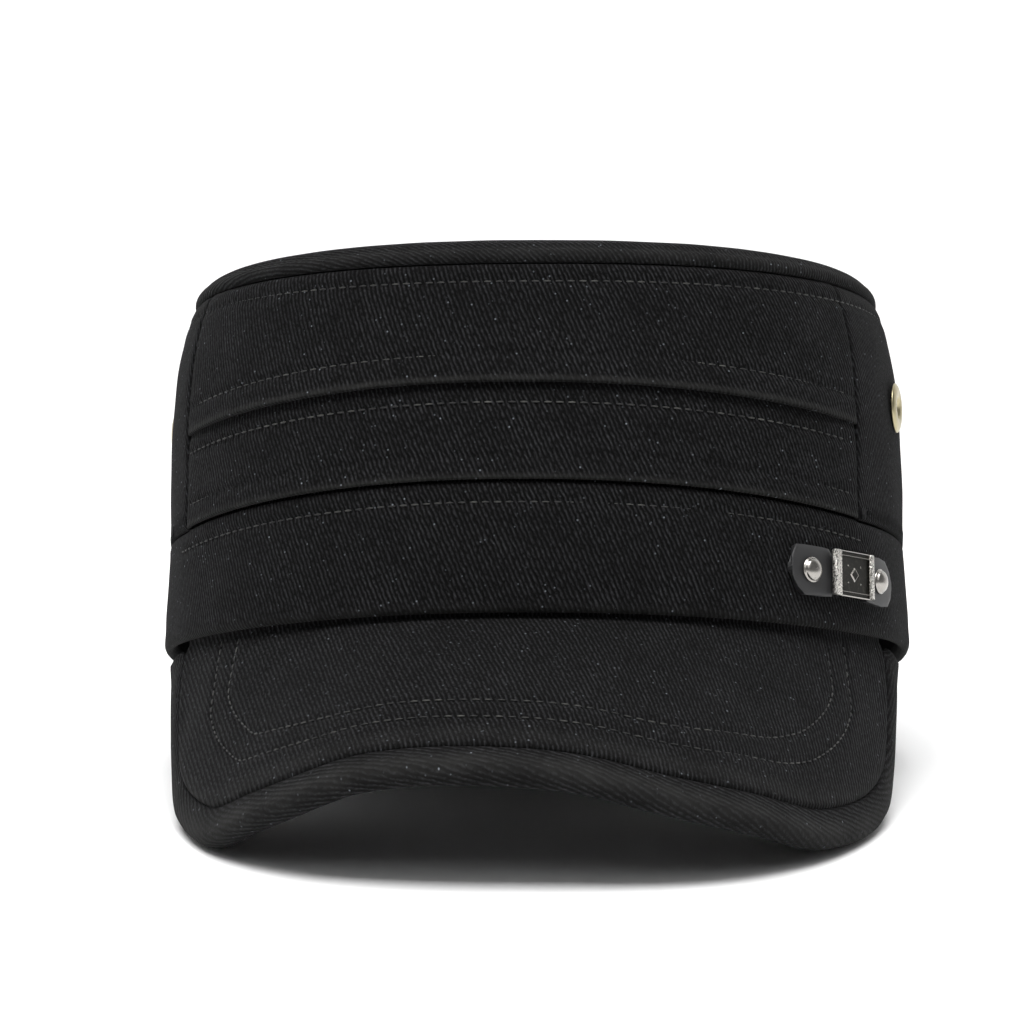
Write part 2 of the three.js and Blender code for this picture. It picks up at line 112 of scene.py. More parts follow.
def through(points, t):
    """A point on the smooth curve through points, at t counted in points from the first."""
    i = min(max(int(t), 0), len(points) - 2)
    f = t - i
    a, b = points[i], points[i + 1]
    before = points[i - 1] if i else a
    after = points[i + 2] if i + 2 < len(points) else b
    value = []
    for p0, p1, p2, p3 in zip(before, a, b, after):
        bend = 2 * p0 - 5 * p1 + 4 * p2 - p3
        turn_back = 3 * p1 - p0 - 3 * p2 + p3
        value.append(0.5 * (2 * p1 + (p2 - p0) * f + bend * f * f + turn_back * f * f * f))
    return value


def even_steps(points, spacing):
    """Where along the curve through points to lay its rows, about a spacing apart."""
    steps = [0.0]
    for i in range(len(points) - 1):
        length = math.dist(points[i], points[i + 1])
        count = max(1, round(length / spacing))
        steps += [i + (k + 1) / count for k in range(count)]
    return steps


def length_property(name, description, default):
    return FloatProperty(name=name, description=description, default=default, unit="LENGTH", precision=5)


def colour_property(name, description, default):
    return StringProperty(name=name, description=description + ", as an sRGB hex value", default=default)


def edge_column(column, turn):
    """One column of the brim edge's table, as a smooth curve through its rows."""
    rows = BRIM_EDGE
    last = len(rows) - 1
    k = next((i - 1 for i, row in enumerate(rows) if row.turn > turn), last - 1)
    k = min(max(k, 0), last - 1)

    def slope(n):
        a, b = rows[max(n - 1, 0)], rows[min(n + 1, last)]
        return (getattr(b, column) - getattr(a, column)) / (b.turn - a.turn)

    start, end = rows[k], rows[k + 1]
    span = end.turn - start.turn
    t = min(max((turn - start.turn) / span, 0.0), 1.0)
    first = slope(k) if k else 0.0
    value = getattr(start, column) * (2 * t ** 3 - 3 * t ** 2 + 1)
    value += getattr(end, column) * (3 * t ** 2 - 2 * t ** 3)
    return value + span * (first * (t ** 3 - 2 * t ** 2 + t) + slope(k + 1) * (t ** 3 - t ** 2))


class CapSizes(bpy.types.PropertyGroup):
    """The cap's own sizes, the same as its solids were made to."""

    rim_half_width: length_property("Rim half width", "Half the crown's width at its rim", 0.0875)
    rim_half_length: length_property("Rim half length", "Half the crown's length at its rim", 0.0995)
    oval_power: FloatProperty(name="Oval", description="How square the crown's oval is", default=2.25)
    top_half_width: length_property("Top half width", "Half the crown's width at its top seam", 0.0816)
    top_half_length: length_property("Top half length", "Half the crown's length at its top seam", 0.0932)
    top_forward: length_property("Top forward", "How far the top stands ahead of the rim", 0.0018)
    side_bow_power: FloatProperty(name="Side bow", description="How late the sides turn in", default=7.0)
    front_height: length_property("Front height", "Top seam above the rim at the front", 0.0785)
    back_height: length_property("Back height", "Top seam above the rim at the back", 0.086)
    top_seam_bow: length_property("Top seam bow", "How far the top seam rises at the sides", 0.0012)
    top_dome: length_property("Top dome", "How far the middle of the top stands up", 0.0016)
    side_seam_turn: FloatProperty(name="Side seam", description="From the bands' middle", default=59.5)
    seam_skew: FloatProperty(name="Seam skew", description="Turn of the bands' middle", default=-4.0)
    upper_tuck: length_property("Upper tuck", "Height of the upper fold at the front", 0.052)
    lower_tuck: length_property("Lower tuck", "Height of the lower fold at the front", 0.0302)
    tuck_droop: length_property("Tuck droop", "How far the folds fall towards the side seams", 0.0036)
    band_lift: length_property("Band lift", "How far the band's foot rises at the front", 0.0013)
    side_lift: length_property("Side lift", "How far the band's foot rises at the sides", 0.0015)
    brim_reach: length_property("Brim reach", "How far the brim stands out at its centre", 0.0573)
    brim_centre_drop: length_property("Centre drop", "How far the brim's centre hangs", 0.0353)
    brim_corner_drop: length_property("Corner drop", "How far the brim's corners hang", 0.048)
    brim_thickness: length_property("Brim thickness", "Thickness of the stiffened brim", 0.0056)
    brim_arch_shift: length_property("Arch shift", "How far the brim's arch leans to one side", 0.0129)
    brim_end_turn: FloatProperty(name="Brim end", description="Turn where the brim ends", default=68.0)
    edge_strip: length_property("Edge strip", "Width of the strip round the brim's edge", 0.0085)
    badge_side_eyelet: FloatProperty(name="Badge side eyelet", description="Its turn", default=73.0)
    plain_side_eyelet: FloatProperty(name="Plain side eyelet", description="Its turn", default=-92.0)
    eyelet_height: length_property("Eyelet height", "Height of the eyelets' middles", 0.0565)
    eyelet_diameter: length_property("Eyelet diameter", "Across an eyelet", 0.0116)
    rest_lean: FloatProperty(name="Lean", description="Lean back at rest, in degrees", default=13.6753)
    rest_across: length_property("Rest across", "How far the rim's middle lies to one side", 0.00014)
    rest_back: length_property("Rest back", "How far the rim's middle lies behind the origin", 0.025834)
    rest_lift: length_property("Rest lift", "How high the rim's middle lies", 0.023848)


class BadgeSizes(bpy.types.PropertyGroup):
    """The strap, plate and rivets on the band."""

    turn: FloatProperty(name="Turn", description="Turn of the plate's middle", default=49.4)
    height: length_property("Height", "Height of the badge's middle", 0.0128)
    strap_width: length_property("Strap width", "Across the leather strap", 0.0112)
    strap_neck: length_property("Strap neck", "Across the strap behind the plate", 0.0084)
    strap_thickness: length_property("Strap thickness", "Thickness of the leather", 0.0016)
    front_tail: length_property("Front tail", "Strap beyond the front rivet", 0.0056)
    rear_tail: length_property("Rear tail", "Strap beyond the rear rivet", 0.0074)
    plate_length: length_property("Plate length", "Along the plate", 0.0154)
    plate_width: length_property("Plate width", "Across the plate", 0.0102)
    rivet_spacing: length_property("Rivet spacing", "Between the rivets' middles", 0.0264)
    rivet_diameter: length_property("Rivet diameter", "Across a rivet", 0.0058)


class StitchSizes(bpy.types.PropertyGroup):
    """The machine stitching."""

    pitch: length_property("Pitch", "From one stitch to the next", 0.0026)
    dash: length_property("Stitch length", "How much of the pitch the thread shows", 0.0019)
    thread: length_property("Thread", "Thickness of the sewing thread", 0.00042)
    groove: length_property("Groove", "How deep the thread pulls the cloth in", 0.00042)


class CapColours(bpy.types.PropertyGroup):
    """Colours of the materials."""

    twill_face: colour_property("Twill face", "Raised yarns of the black twill", "#323234")
    twill_valley: colour_property("Twill valley", "Sunken yarns of the black twill", "#0b0b0b")
    # Paler twill for rubbed edges, also used as a painted highlight along the lit ridges of the folded
    # lips.
    twill_worn: colour_property("Twill worn", "Twill rubbed along its edges", "#2e2e2d")
    lint: colour_property("Lint", "Lint on the cloth", "#83888f")
    thread: colour_property("Thread", "Sewing thread", "#151515")
    leather: colour_property("Leather", "Strap leather", "#2d2d2e")
    silver: colour_property("Silver", "Nickel plating", "#a3a09b")
    field: colour_property("Plate field", "Blackened face of the plate", "#15140f")
    brass: colour_property("Brass", "Eyelets", "#aca384")
    floor: colour_property("Floor", "Paper under the cap", "#ffffff")


class CapView(bpy.types.PropertyGroup):
    """Where the camera stands."""

    azimuth: FloatProperty(name="Azimuth", description="Degrees towards the badge side", default=1.497)
    elevation: FloatProperty(name="Elevation", description="Degrees above the floor", default=5.516)
    roll: FloatProperty(name="Roll", description="Degrees that the picture is tipped", default=0.443)
    distance: length_property("Distance", "From the point aimed at", 0.89648)
    aim_x: length_property("Aim X", "Point aimed at", -0.005616)
    aim_y: length_property("Aim Y", "Point aimed at", 0.0252)
    aim_z: length_property("Aim Z", "Point aimed at", 0.060998)
    lens: FloatProperty(name="Lens", description="Focal length in millimetres", default=131.796)


class CapShape:
    """The crown and brim as formulas of turn and height, upright, with the rim on z = 0."""

    def __init__(self, sizes):
        for name in CapSizes.__annotations__:
            setattr(self, name, getattr(sizes, name))
        self.ovals = {}
        self.seam_across = self.oval(self.side_seam_turn)[0]
        lean = Matrix.Rotation(-math.radians(self.rest_lean), 4, "X")
        self.to_frame = Matrix.Translation((self.rest_across, self.rest_back, self.rest_lift)) @ lean

    def oval(self, turn):
        """Shares of the half width and half length that a turn reaches."""
        if turn not in self.ovals:
            s, c = math.sin(math.radians(turn)), math.cos(math.radians(turn))
            power = 2 / self.oval_power
            self.ovals[turn] = (math.copysign(abs(s) ** power, s), math.copysign(abs(c) ** power, c))
        return self.ovals[turn]

    def from_bands(self, turn):
        """Turn from the middle of the front bands, which are sewn a little to one side."""
        return (turn - self.seam_skew + 180) % 360 - 180

    def towards_seam(self, turn):
        """0 at the middle of the front bands, and 1 at a side seam and beyond."""
        middle_turn = self.from_bands(turn)
        if abs(middle_turn) >= self.side_seam_turn:
            return 1.0
        return (abs(self.oval(middle_turn)[0]) / self.seam_across) ** 2

    def top_seam(self, turn):
        across, ahead = self.oval(turn)
        return lerp(self.back_height, self.front_height, (1 + ahead) / 2) + self.top_seam_bow * across ** 2

    def fold(self, turn, height):
        return height - self.tuck_droop * self.towards_seam(turn)

    def band_foot(self, turn):
        side = abs(self.oval(turn)[0]) ** 6
        return self.band_lift * (1 - self.towards_seam(turn)) + self.side_lift * side

    def wall(self, turn, up, out=0.0):
        """A point on the crown's wall, moved out from it along the level normal."""
        across, ahead = self.oval(turn)
        share = min(max(up / self.top_seam(turn), 0.0), 1.0)
        half_width = lerp(self.rim_half_width, self.top_half_width, share ** self.side_bow_power)
        half_length = lerp(self.rim_half_length, self.top_half_length, share)
        nx = math.copysign(abs(across) ** (self.oval_power - 1), across) / half_width
        ny = -math.copysign(abs(ahead) ** (self.oval_power - 1), ahead) / half_length
        size = math.hypot(nx, ny)
        x = half_width * across + out * nx / size
        y = -self.top_forward * share - half_length * ahead + out * ny / size
        return Vector((x, y, up))

    def arc_table(self, start, end, steps, up):
        """Length round the wall from the front centre, at each step from start to end."""
        arcs = [0.0]
        before = self.wall(start, up)
        for i in range(steps):
            here = self.wall(lerp(start, end, (i + 1) / steps), up)
            arcs.append(arcs[-1] + (here - before).length)
            before = here
        centre = -start / (end - start) * steps
        low = min(max(int(centre), 0), steps - 1)
        zero = lerp(arcs[low], arcs[low + 1], centre - low)
        return [arc - zero for arc in arcs]

    def seat(self, turn, up, out):
        """Where a small piece sits on the wall: X back round it, Y out of it, Z up it."""
        place = self.wall(turn, up, out)
        outward = (self.wall(turn, up, out + MM) - place).normalized()
        along = (self.wall(turn + 0.5, up, out) - self.wall(turn - 0.5, up, out)).normalized()
        upward = outward.cross(along).normalized()
        if upward.z < 0:
            upward.negate()
        side = outward.cross(upward).normalized()
        turned = Matrix((side, outward, upward)).transposed().to_4x4()
        return Matrix.Translation(place) @ turned

    def turn_per_length(self, turn, up):
        return 1 / (self.wall(turn + 0.5, up) - self.wall(turn - 0.5, up)).length

    def band_face(self, turn, up):
        """How far the outer band's face stands out of the crown's wall at a height."""
        foot = self.band_foot(turn)
        share = (up - foot) / (self.fold(turn, self.lower_tuck) - foot)
        if share > 0.6:
            return lerp(0.45, 0.0, (share - 0.6) / 0.4) * MM
        return lerp(0.9, 0.45, min(max((share - 0.25) / 0.35, 0), 1)) * MM

    def brim_edge(self, turn):
        """The brim's outer edge at a turn, on its upper face."""
        side = abs(turn)
        at_edge = math.degrees(self.brim_arch_shift / (self.rim_half_length + self.brim_reach))
        shift = at_edge * (1 - (turn / self.brim_end_turn) ** 2)
        arch = min(abs(turn + shift), self.brim_end_turn)
        corner = edge_column("corner", arch)
        drop = lerp(self.brim_centre_drop, self.brim_corner_drop, corner) * edge_column("hang", side)
        point = self.wall(turn, 0.0, self.brim_reach * edge_column("reach", side))
        point.z = -drop
        return point

    def brim_section(self, turn):
        """The brim's edge and root at a turn, with the directions out of its edge and up."""
        edge = self.brim_edge(turn)
        inner = self.wall(turn, 0.0, -2.8 * MM)
        along = (self.brim_edge(turn + 0.5) - self.brim_edge(turn - 0.5)).normalized()
        up = (edge - inner).cross(along).normalized()
        if up.z < 0:
            up.negate()
        out = along.cross(up).normalized()
        if out.dot(edge - inner) < 0:
            out.negate()
        low = self.band_foot(turn) - 0.45 * MM
        root = self.wall(turn, low, -2.2 * MM)
        return BrimSection(edge, root, out, up, low)

    def brim_face(self, section, share):
        """A point on the brim's upper face, at a share of the way from its root to its edge."""
        over = section.edge - section.out * (self.brim_thickness * 0.3)
        span = (section.edge - section.root).length
        camber = 4 * MM * share * (1 - share) * min(2.0, span / 0.03)
        return section.root.lerp(over, share) + section.up * camber


class StitchRow:
    """A row of stitches along a path of points with the way out of the cloth at each."""

    def __init__(self, points, outward, stitches):
        self.points = points
        self.outward = outward
        self.pitch = stitches.pitch
        self.dash = stitches.dash
        self.groove = stitches.groove
        self.arcs = [0.0]
        for a, b in zip(points, points[1:]):
            self.arcs.append(self.arcs[-1] + (b - a).length)

    def relief(self, arc, aside):
        """How far the cloth is pulled in, aside from the row, and puffed up beyond that."""
        if abs(aside) > 5 * MM:
            return 0.0
        dimple = 0.62 - 0.38 * math.cos(2 * math.pi * arc / self.pitch)
        puff = 0.3 * bell(abs(aside) - 2.2 * MM, 1.3 * MM)
        return self.groove * (puff - bell(aside, 0.85 * MM) * dimple)

    def places(self):
        """Middle, direction and way out of each stitch."""
        found = []
        k = 0
        count = int(self.arcs[-1] / self.pitch)
        for n in range(count):
            arc = n * self.pitch
            while self.arcs[k + 1] < arc:
                k += 1
            a, b = self.points[k], self.points[k + 1]
            middle = a.lerp(b, (arc - self.arcs[k]) / (self.arcs[k + 1] - self.arcs[k]))
            found.append((middle, (b - a).normalized(), self.outward[k]))
        return found


def undulation(point, size):
    """The slow unevenness of handled cloth, in metres."""
    slow = noise.noise(point / 0.034)
    quick = noise.noise(point / 0.011 + Vector((7.0, 3.0, 1.0)))
    return size * (slow + 0.35 * quick)


def cloth_sheet(columns, rows, place):
    """A grid of cloth. place(i, j) gives each corner's point, its place on the flat cloth and
    how much it is paled by rubbing and by painted highlight."""
    bm = bmesh.new()
    bmesh.ops.create_grid(bm, x_segments=columns, y_segments=rows, size=0.5)
    uv_layer = bm.loops.layers.uv.new("cloth")
    wear_and_highlight_layer = bm.verts.layers.float.new("wear")
    flat = {}
    for vert in bm.verts:
        i = round((vert.co.x + 0.5) * columns)
        j = round((vert.co.y + 0.5) * rows)
        point, cloth, wear = place(i, j)
        vert.co = point
        vert[wear_and_highlight_layer] = wear
        flat[vert] = cloth
    for face in bm.faces:
        for loop in face.loops:
            loop[uv_layer].uv = flat[loop.vert]
    return bm


def twill_lies(around, up, angle):
    """Where a point of flat cloth comes on the weave, whose lines fall to the right."""
    s, c = math.sin(math.radians(angle)), math.cos(math.radians(angle))
    return around * s + up * c, -around * c + up * s


def finish_piece(bm, name, materials, nodes, to_frame):
    """The mesh as an object in the shared frame, which rides on the cap and stands for nodes."""
    bm.transform(to_frame)
    mesh = bpy.data.meshes.new(name)
    bm.to_mesh(mesh)
    bm.free()
    mesh.polygons.foreach_set("use_smooth", [True] * len(mesh.polygons))
    for material in materials:
        mesh.materials.append(material)
    piece = bpy.data.objects.new(name, mesh)
    bpy.context.scene.collection.objects.link(piece)
    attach(piece, "root")
    if nodes:
        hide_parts(*nodes)
    return piece


def thicken(piece, thickness):
    """Cloth or leather thickness, added on the inner side."""
    wall = piece.modifiers.new("thickness", "SOLIDIFY")
    wall.thickness = thickness
    wall.offset = -1
    wall.use_rim = True


def linear_colour(hex_value):
    """An sRGB hex value as a linear colour."""
    channels = []
    for i in (1, 3, 5):
        value = int(hex_value[i:i + 2], 16) / 255
        channels.append(value / 12.92 if value <= 0.04045 else ((value + 0.055) / 1.055) ** 2.4)
    return (*channels, 1.0)


def add_node(tree, kind, settings=None, inputs=None):
    """A node with its settings, and its inputs set to values or linked to other nodes' outputs."""
    node = tree.nodes.new(kind)
    for key, value in (settings or {}).items():
        setattr(node, key, value)
    for key, value in (inputs or {}).items():
        if isinstance(value, bpy.types.NodeSocket):
            tree.links.new(value, node.inputs[key])
        else:
            node.inputs[key].default_value = value
    return node


def new_material(name):
    """An empty node material and its node tree."""
    material = bpy.data.materials.new(name)
    material.use_nodes = True
    material.node_tree.nodes.clear()
    return material, material.node_tree


def close_material(tree, shader):
    """The material's output, taking the shader."""
    add_node(tree, "ShaderNodeOutputMaterial", inputs={"Surface": shader.outputs[0]})


def cotton_twill(colours):
    """Black cotton twill, piece dyed: fine slanting lines that catch the light along their tops,
    a dull face with a faint bloom at grazing angles, paler rubbed edges and painted highlights on lit
    fold ridges, and a little lint."""
    if "black_cotton_twill" in bpy.data.materials:
        return bpy.data.materials["black_cotton_twill"]
    material, tree = new_material("black_cotton_twill")
    line_spacing = 1.0 * MM
    float_length = 1.8 * MM
    lint_size = 1.3 * MM
    cloth = add_node(tree, "ShaderNodeUVMap", {"uv_map": "cloth"})
    lines = add_node(tree, "ShaderNodeTexWave", {"wave_type": "BANDS", "bands_direction": "X"}, {
        "Vector": cloth.outputs["UV"], "Scale": math.pi / (10 * line_spacing),
        "Distortion": 2.0, "Detail": 3.0, "Detail Scale": 1.6})
    along = add_node(tree, "ShaderNodeMapping", {"vector_type": "TEXTURE"}, {
        "Vector": cloth.outputs["UV"], "Scale": (line_spacing, float_length, 1.0)})
    floats = add_node(tree, "ShaderNodeTexNoise", inputs={
        "Vector": along.outputs["Vector"], "Scale": 1.6, "Detail": 3.0, "Roughness": 0.65})
    slub = add_node(tree, "ShaderNodeMapRange", inputs={
        "Value": floats.outputs["Fac"], "From Min": 0.32, "From Max": 0.7})
    blotch = add_node(tree, "ShaderNodeTexNoise", inputs={
        "Vector": cloth.outputs["UV"], "Scale": 1 / (11 * MM), "Detail": 5.0, "Roughness": 0.7})
    mottle = add_node(tree, "ShaderNodeMapRange", inputs={
        "Value": blotch.outputs["Fac"], "From Min": 0.3, "From Max": 0.7,
        "To Min": 0.6, "To Max": 1.1})
    lifted = add_node(tree, "ShaderNodeMath", {"operation": "MULTIPLY"}, {
        0: lines.outputs["Fac"], 1: slub.outputs["Result"]})
    mottled = add_node(tree, "ShaderNodeMath", {"operation": "MULTIPLY"}, {
        0: lifted.outputs[0], 1: mottle.outputs["Result"]})
    face = add_node(tree, "ShaderNodeMapRange", inputs={
        "Value": mottled.outputs[0], "From Min": 0.1, "From Max": 0.85})
    tone = add_node(tree, "ShaderNodeMix", {"data_type": "RGBA"}, {
        "Factor": face.outputs["Result"], "A": linear_colour(colours.twill_valley),
        "B": linear_colour(colours.twill_face)})
    wear = add_node(tree, "ShaderNodeAttribute", {"attribute_name": "wear"})
    # Paler twill where the cloth is rubbed, and a painted highlight along the lit ridges of the folded
    # lips.
    patchy_mask = add_node(tree, "ShaderNodeMath", {"operation": "MULTIPLY", "use_clamp": True}, {
        0: wear.outputs["Fac"], 1: blotch.outputs["Fac"]})
    worn_and_lit = add_node(tree, "ShaderNodeMix", {"data_type": "RGBA"}, {
        "Factor": patchy_mask.outputs[0], "A": tone.outputs[2], "B": linear_colour(colours.twill_worn)})
    specks = add_node(tree, "ShaderNodeTexVoronoi", {"feature": "F1"}, {
        "Vector": cloth.outputs["UV"], "Scale": 1 / lint_size, "Randomness": 1.0})
    near = add_node(tree, "ShaderNodeMapRange", inputs={
        "Value": specks.outputs["Distance"], "From Min": 0.06, "From Max": 0.2,
        "To Min": 1.0, "To Max": 0.0})
    chosen = add_node(tree, "ShaderNodeMapRange", inputs={
        "Value": specks.outputs["Color"], "From Min": 0.68, "From Max": 0.95})
    linted = add_node(tree, "ShaderNodeMath", {"operation": "MULTIPLY", "use_clamp": True}, {
        0: near.outputs["Result"], 1: chosen.outputs["Result"]})
    dusted = add_node(tree, "ShaderNodeMix", {"data_type": "RGBA"}, {
        "Factor": linted.outputs[0], "A": worn_and_lit.outputs[2], "B": linear_colour(colours.lint)})
    fuzz = add_node(tree, "ShaderNodeMath", {"operation": "MULTIPLY_ADD"}, {
        0: slub.outputs["Result"], 1: 0.5, 2: lines.outputs["Fac"]})
    bump = add_node(tree, "ShaderNodeBump", inputs={
        "Strength": 0.8, "Distance": 0.2 * MM, "Height": fuzz.outputs[0]})
    shader = add_node(tree, "ShaderNodeBsdfPrincipled", inputs={
        "Base Color": dusted.outputs[2], "Roughness": 0.92, "IOR": 1.45, "Specular IOR Level": 0.06,
        "Sheen Weight": 0.015, "Sheen Roughness": 0.45, "Sheen Tint": (0.8, 0.8, 0.8, 1.0),
        "Normal": bump.outputs["Normal"]})
    close_material(tree, shader)
    return material


def sewing_thread(colours):
    """Spun polyester thread, twisted: a slightly smoother line than the cloth, paler in places."""
    if "spun_polyester_thread" in bpy.data.materials:
        return bpy.data.materials["spun_polyester_thread"]
    material, tree = new_material("spun_polyester_thread")
    place = add_node(tree, "ShaderNodeTexCoord")
    patches = add_node(tree, "ShaderNodeTexNoise", inputs={
        "Vector": place.outputs["Object"], "Scale": 1 / (4.5 * MM), "Detail": 2.0})
    shade = add_node(tree, "ShaderNodeMapRange", inputs={
        "Value": patches.outputs["Fac"], "From Min": 0.42, "From Max": 0.72})
    tone = add_node(tree, "ShaderNodeMix", {"data_type": "RGBA"}, {
        "Factor": shade.outputs["Result"], "A": linear_colour(colours.thread),
        "B": linear_colour("#454542")})
    twist = add_node(tree, "ShaderNodeTexNoise", inputs={
        "Vector": place.outputs["Object"], "Scale": 1 / (0.25 * MM), "Detail": 1.0})
    bump = add_node(tree, "ShaderNodeBump", inputs={
        "Strength": 0.3, "Distance": 0.05 * MM, "Height": twist.outputs["Fac"]})
    shader = add_node(tree, "ShaderNodeBsdfPrincipled", inputs={
        "Base Color": tone.outputs[2], "Roughness": 0.6, "IOR": 1.5,
        "Specular IOR Level": 0.4, "Normal": bump.outputs["Normal"]})
    close_material(tree, shader)
    return material


def strap_leather(colours):
    """Smooth dyed split leather: even, satin, with a fine grain."""
    material, tree = new_material("smooth_dyed_leather")
    place = add_node(tree, "ShaderNodeTexCoord")
    grain = add_node(tree, "ShaderNodeTexVoronoi", {"feature": "DISTANCE_TO_EDGE"}, {
        "Vector": place.outputs["Object"], "Scale": 1 / (0.5 * MM)})
    cloud = add_node(tree, "ShaderNodeTexNoise", inputs={
        "Vector": place.outputs["Object"], "Scale": 1 / (6 * MM), "Detail": 4.0})
    shade = add_node(tree, "ShaderNodeMapRange", inputs={
        "Value": cloud.outputs["Fac"], "From Min": 0.3, "From Max": 0.75})
    tone = add_node(tree, "ShaderNodeMix", {"data_type": "RGBA"}, {
        "Factor": shade.outputs["Result"], "A": linear_colour("#232324"),
        "B": linear_colour(colours.leather)})
    gloss = add_node(tree, "ShaderNodeMapRange", inputs={
        "Value": cloud.outputs["Fac"], "To Min": 0.42, "To Max": 0.62})
    bump = add_node(tree, "ShaderNodeBump", inputs={
        "Strength": 0.25, "Distance": 0.05 * MM, "Height": grain.outputs["Distance"]})
    shader = add_node(tree, "ShaderNodeBsdfPrincipled", inputs={
        "Base Color": tone.outputs[2], "Roughness": gloss.outputs["Result"], "IOR": 1.5,
        "Normal": bump.outputs["Normal"]})
    close_material(tree, shader)
    return material


def nickel_plate(colours):
    """Nickel-plated zinc, die cast and tumbled: a bright, slightly warm mirror with soft wear."""
    if "nickel_plated_zinc" in bpy.data.materials:
        return bpy.data.materials["nickel_plated_zinc"]
    material, tree = new_material("nickel_plated_zinc")
    place = add_node(tree, "ShaderNodeTexCoord")
    cloud = add_node(tree, "ShaderNodeTexNoise", inputs={
        "Vector": place.outputs["Object"], "Scale": 1 / (1.2 * MM), "Detail": 5.0})
    gloss = add_node(tree, "ShaderNodeMapRange", inputs={
        "Value": cloud.outputs["Fac"], "To Min": 0.14, "To Max": 0.34})
    bump = add_node(tree, "ShaderNodeBump", inputs={
        "Strength": 0.08, "Distance": 0.05 * MM, "Height": cloud.outputs["Fac"]})
    shader = add_node(tree, "ShaderNodeBsdfPrincipled", inputs={
        "Base Color": linear_colour(colours.silver), "Metallic": 1.0,
        "Roughness": gloss.outputs["Result"], "Normal": bump.outputs["Normal"]})
    close_material(tree, shader)
    return material


def knurled_nickel(colours):
    """The plate's rails: the same plating over a coarse struck grain that glitters."""
    material, tree = new_material("knurled_nickel")
    place = add_node(tree, "ShaderNodeTexCoord")
    pits = add_node(tree, "ShaderNodeTexVoronoi", {"feature": "F1"}, {
        "Vector": place.outputs["Object"], "Scale": 1 / (0.32 * MM)})
    depth = add_node(tree, "ShaderNodeMapRange", inputs={
        "Value": pits.outputs["Distance"], "From Min": 0.4, "From Max": 0.9})
    tone = add_node(tree, "ShaderNodeMix", {"data_type": "RGBA"}, {
        "Factor": depth.outputs["Result"], "A": linear_colour("#dedbd5"),
        "B": linear_colour(colours.field)})
    bump = add_node(tree, "ShaderNodeBump", inputs={
        "Strength": 1.0, "Distance": 0.16 * MM, "Height": pits.outputs["Distance"]})
    shader = add_node(tree, "ShaderNodeBsdfPrincipled", inputs={
        "Base Color": tone.outputs[2], "Metallic": 1.0, "Roughness": 0.3,
        "Normal": bump.outputs["Normal"]})
    close_material(tree, shader)
    return material


def blackened_zinc(colours):
    """The plate's sunken field: antique black left in the hollows, faintly brown and satin."""
    material, tree = new_material("blackened_zinc")
    place = add_node(tree, "ShaderNodeTexCoord")
    cloud = add_node(tree, "ShaderNodeTexNoise", inputs={
        "Vector": place.outputs["Object"], "Scale": 1 / (0.9 * MM), "Detail": 5.0})
    patchy_mask = add_node(tree, "ShaderNodeMapRange", inputs={
        "Value": cloud.outputs["Fac"], "From Min": 0.55, "From Max": 0.8})
    tone = add_node(tree, "ShaderNodeMix", {"data_type": "RGBA"}, {
        "Factor": patchy_mask.outputs["Result"], "A": linear_colour(colours.field),
        "B": linear_colour("#3a3830")})
    bump = add_node(tree, "ShaderNodeBump", inputs={
        "Strength": 0.3, "Distance": 0.05 * MM, "Height": cloud.outputs["Fac"]})
    shader = add_node(tree, "ShaderNodeBsdfPrincipled", inputs={
        "Base Color": tone.outputs[2], "Metallic": 0.75, "Roughness": 0.42,
        "Normal": bump.outputs["Normal"]})
    close_material(tree, shader)
    return material


def eyelet_brass(colours):
    """Pale lacquered brass, pressed: soft gold with fine turned lines and dull spots."""
    if "pale_brass" in bpy.data.materials:
        return bpy.data.materials["pale_brass"]
    material, tree = new_material("pale_brass")
    place = add_node(tree, "ShaderNodeTexCoord")
    cloud = add_node(tree, "ShaderNodeTexNoise", inputs={
        "Vector": place.outputs["Object"], "Scale": 1 / (1.6 * MM), "Detail": 4.0})
    gloss = add_node(tree, "ShaderNodeMapRange", inputs={
        "Value": cloud.outputs["Fac"], "To Min": 0.24, "To Max": 0.46})
    shader = add_node(tree, "ShaderNodeBsdfPrincipled", inputs={
        "Base Color": linear_colour(colours.brass), "Metallic": 1.0,
        "Roughness": gloss.outputs["Result"]})
    close_material(tree, shader)
    return material


def backdrop_paper(colours):
    """Matt white seamless paper: no gloss, so that only the cap's soft shadow shows on it, and
    greyer at the sides and towards the camera, so that the cap isn't lit flatly."""
    material, tree = new_material("seamless_paper")
    place = add_node(tree, "ShaderNodeTexCoord")
    fibre = add_node(tree, "ShaderNodeTexNoise", inputs={
        "Vector": place.outputs["Object"], "Scale": 1 / (1.5 * MM), "Detail": 3.0})
    bump = add_node(tree, "ShaderNodeBump", inputs={
        "Strength": 0.04, "Distance": 0.05 * MM, "Height": fibre.outputs["Fac"]})
    axes = add_node(tree, "ShaderNodeSeparateXYZ", inputs={"Vector": place.outputs["Object"]})
    aside = add_node(tree, "ShaderNodeMath", {"operation": "ABSOLUTE"}, {0: axes.outputs["X"]})
    nearer = add_node(tree, "ShaderNodeMath", {"operation": "SUBTRACT"}, {
        0: aside.outputs[0], 1: axes.outputs["Y"]})
    shaded = add_node(tree, "ShaderNodeMapRange", {"interpolation_type": "SMOOTHSTEP"}, {
        "Value": nearer.outputs[0], "From Min": 1.0, "From Max": 2.4})
    tone = add_node(tree, "ShaderNodeMix", {"data_type": "RGBA"}, {
        "Factor": shaded.outputs["Result"], "A": linear_colour(colours.floor),
        "B": linear_colour("#a8a8a8")})
    shader = add_node(tree, "ShaderNodeBsdfPrincipled", inputs={
        "Base Color": tone.outputs[2], "Roughness": 0.95,
        "Specular IOR Level": 0.1, "Normal": bump.outputs["Normal"]})
    close_material(tree, shader)
    return material


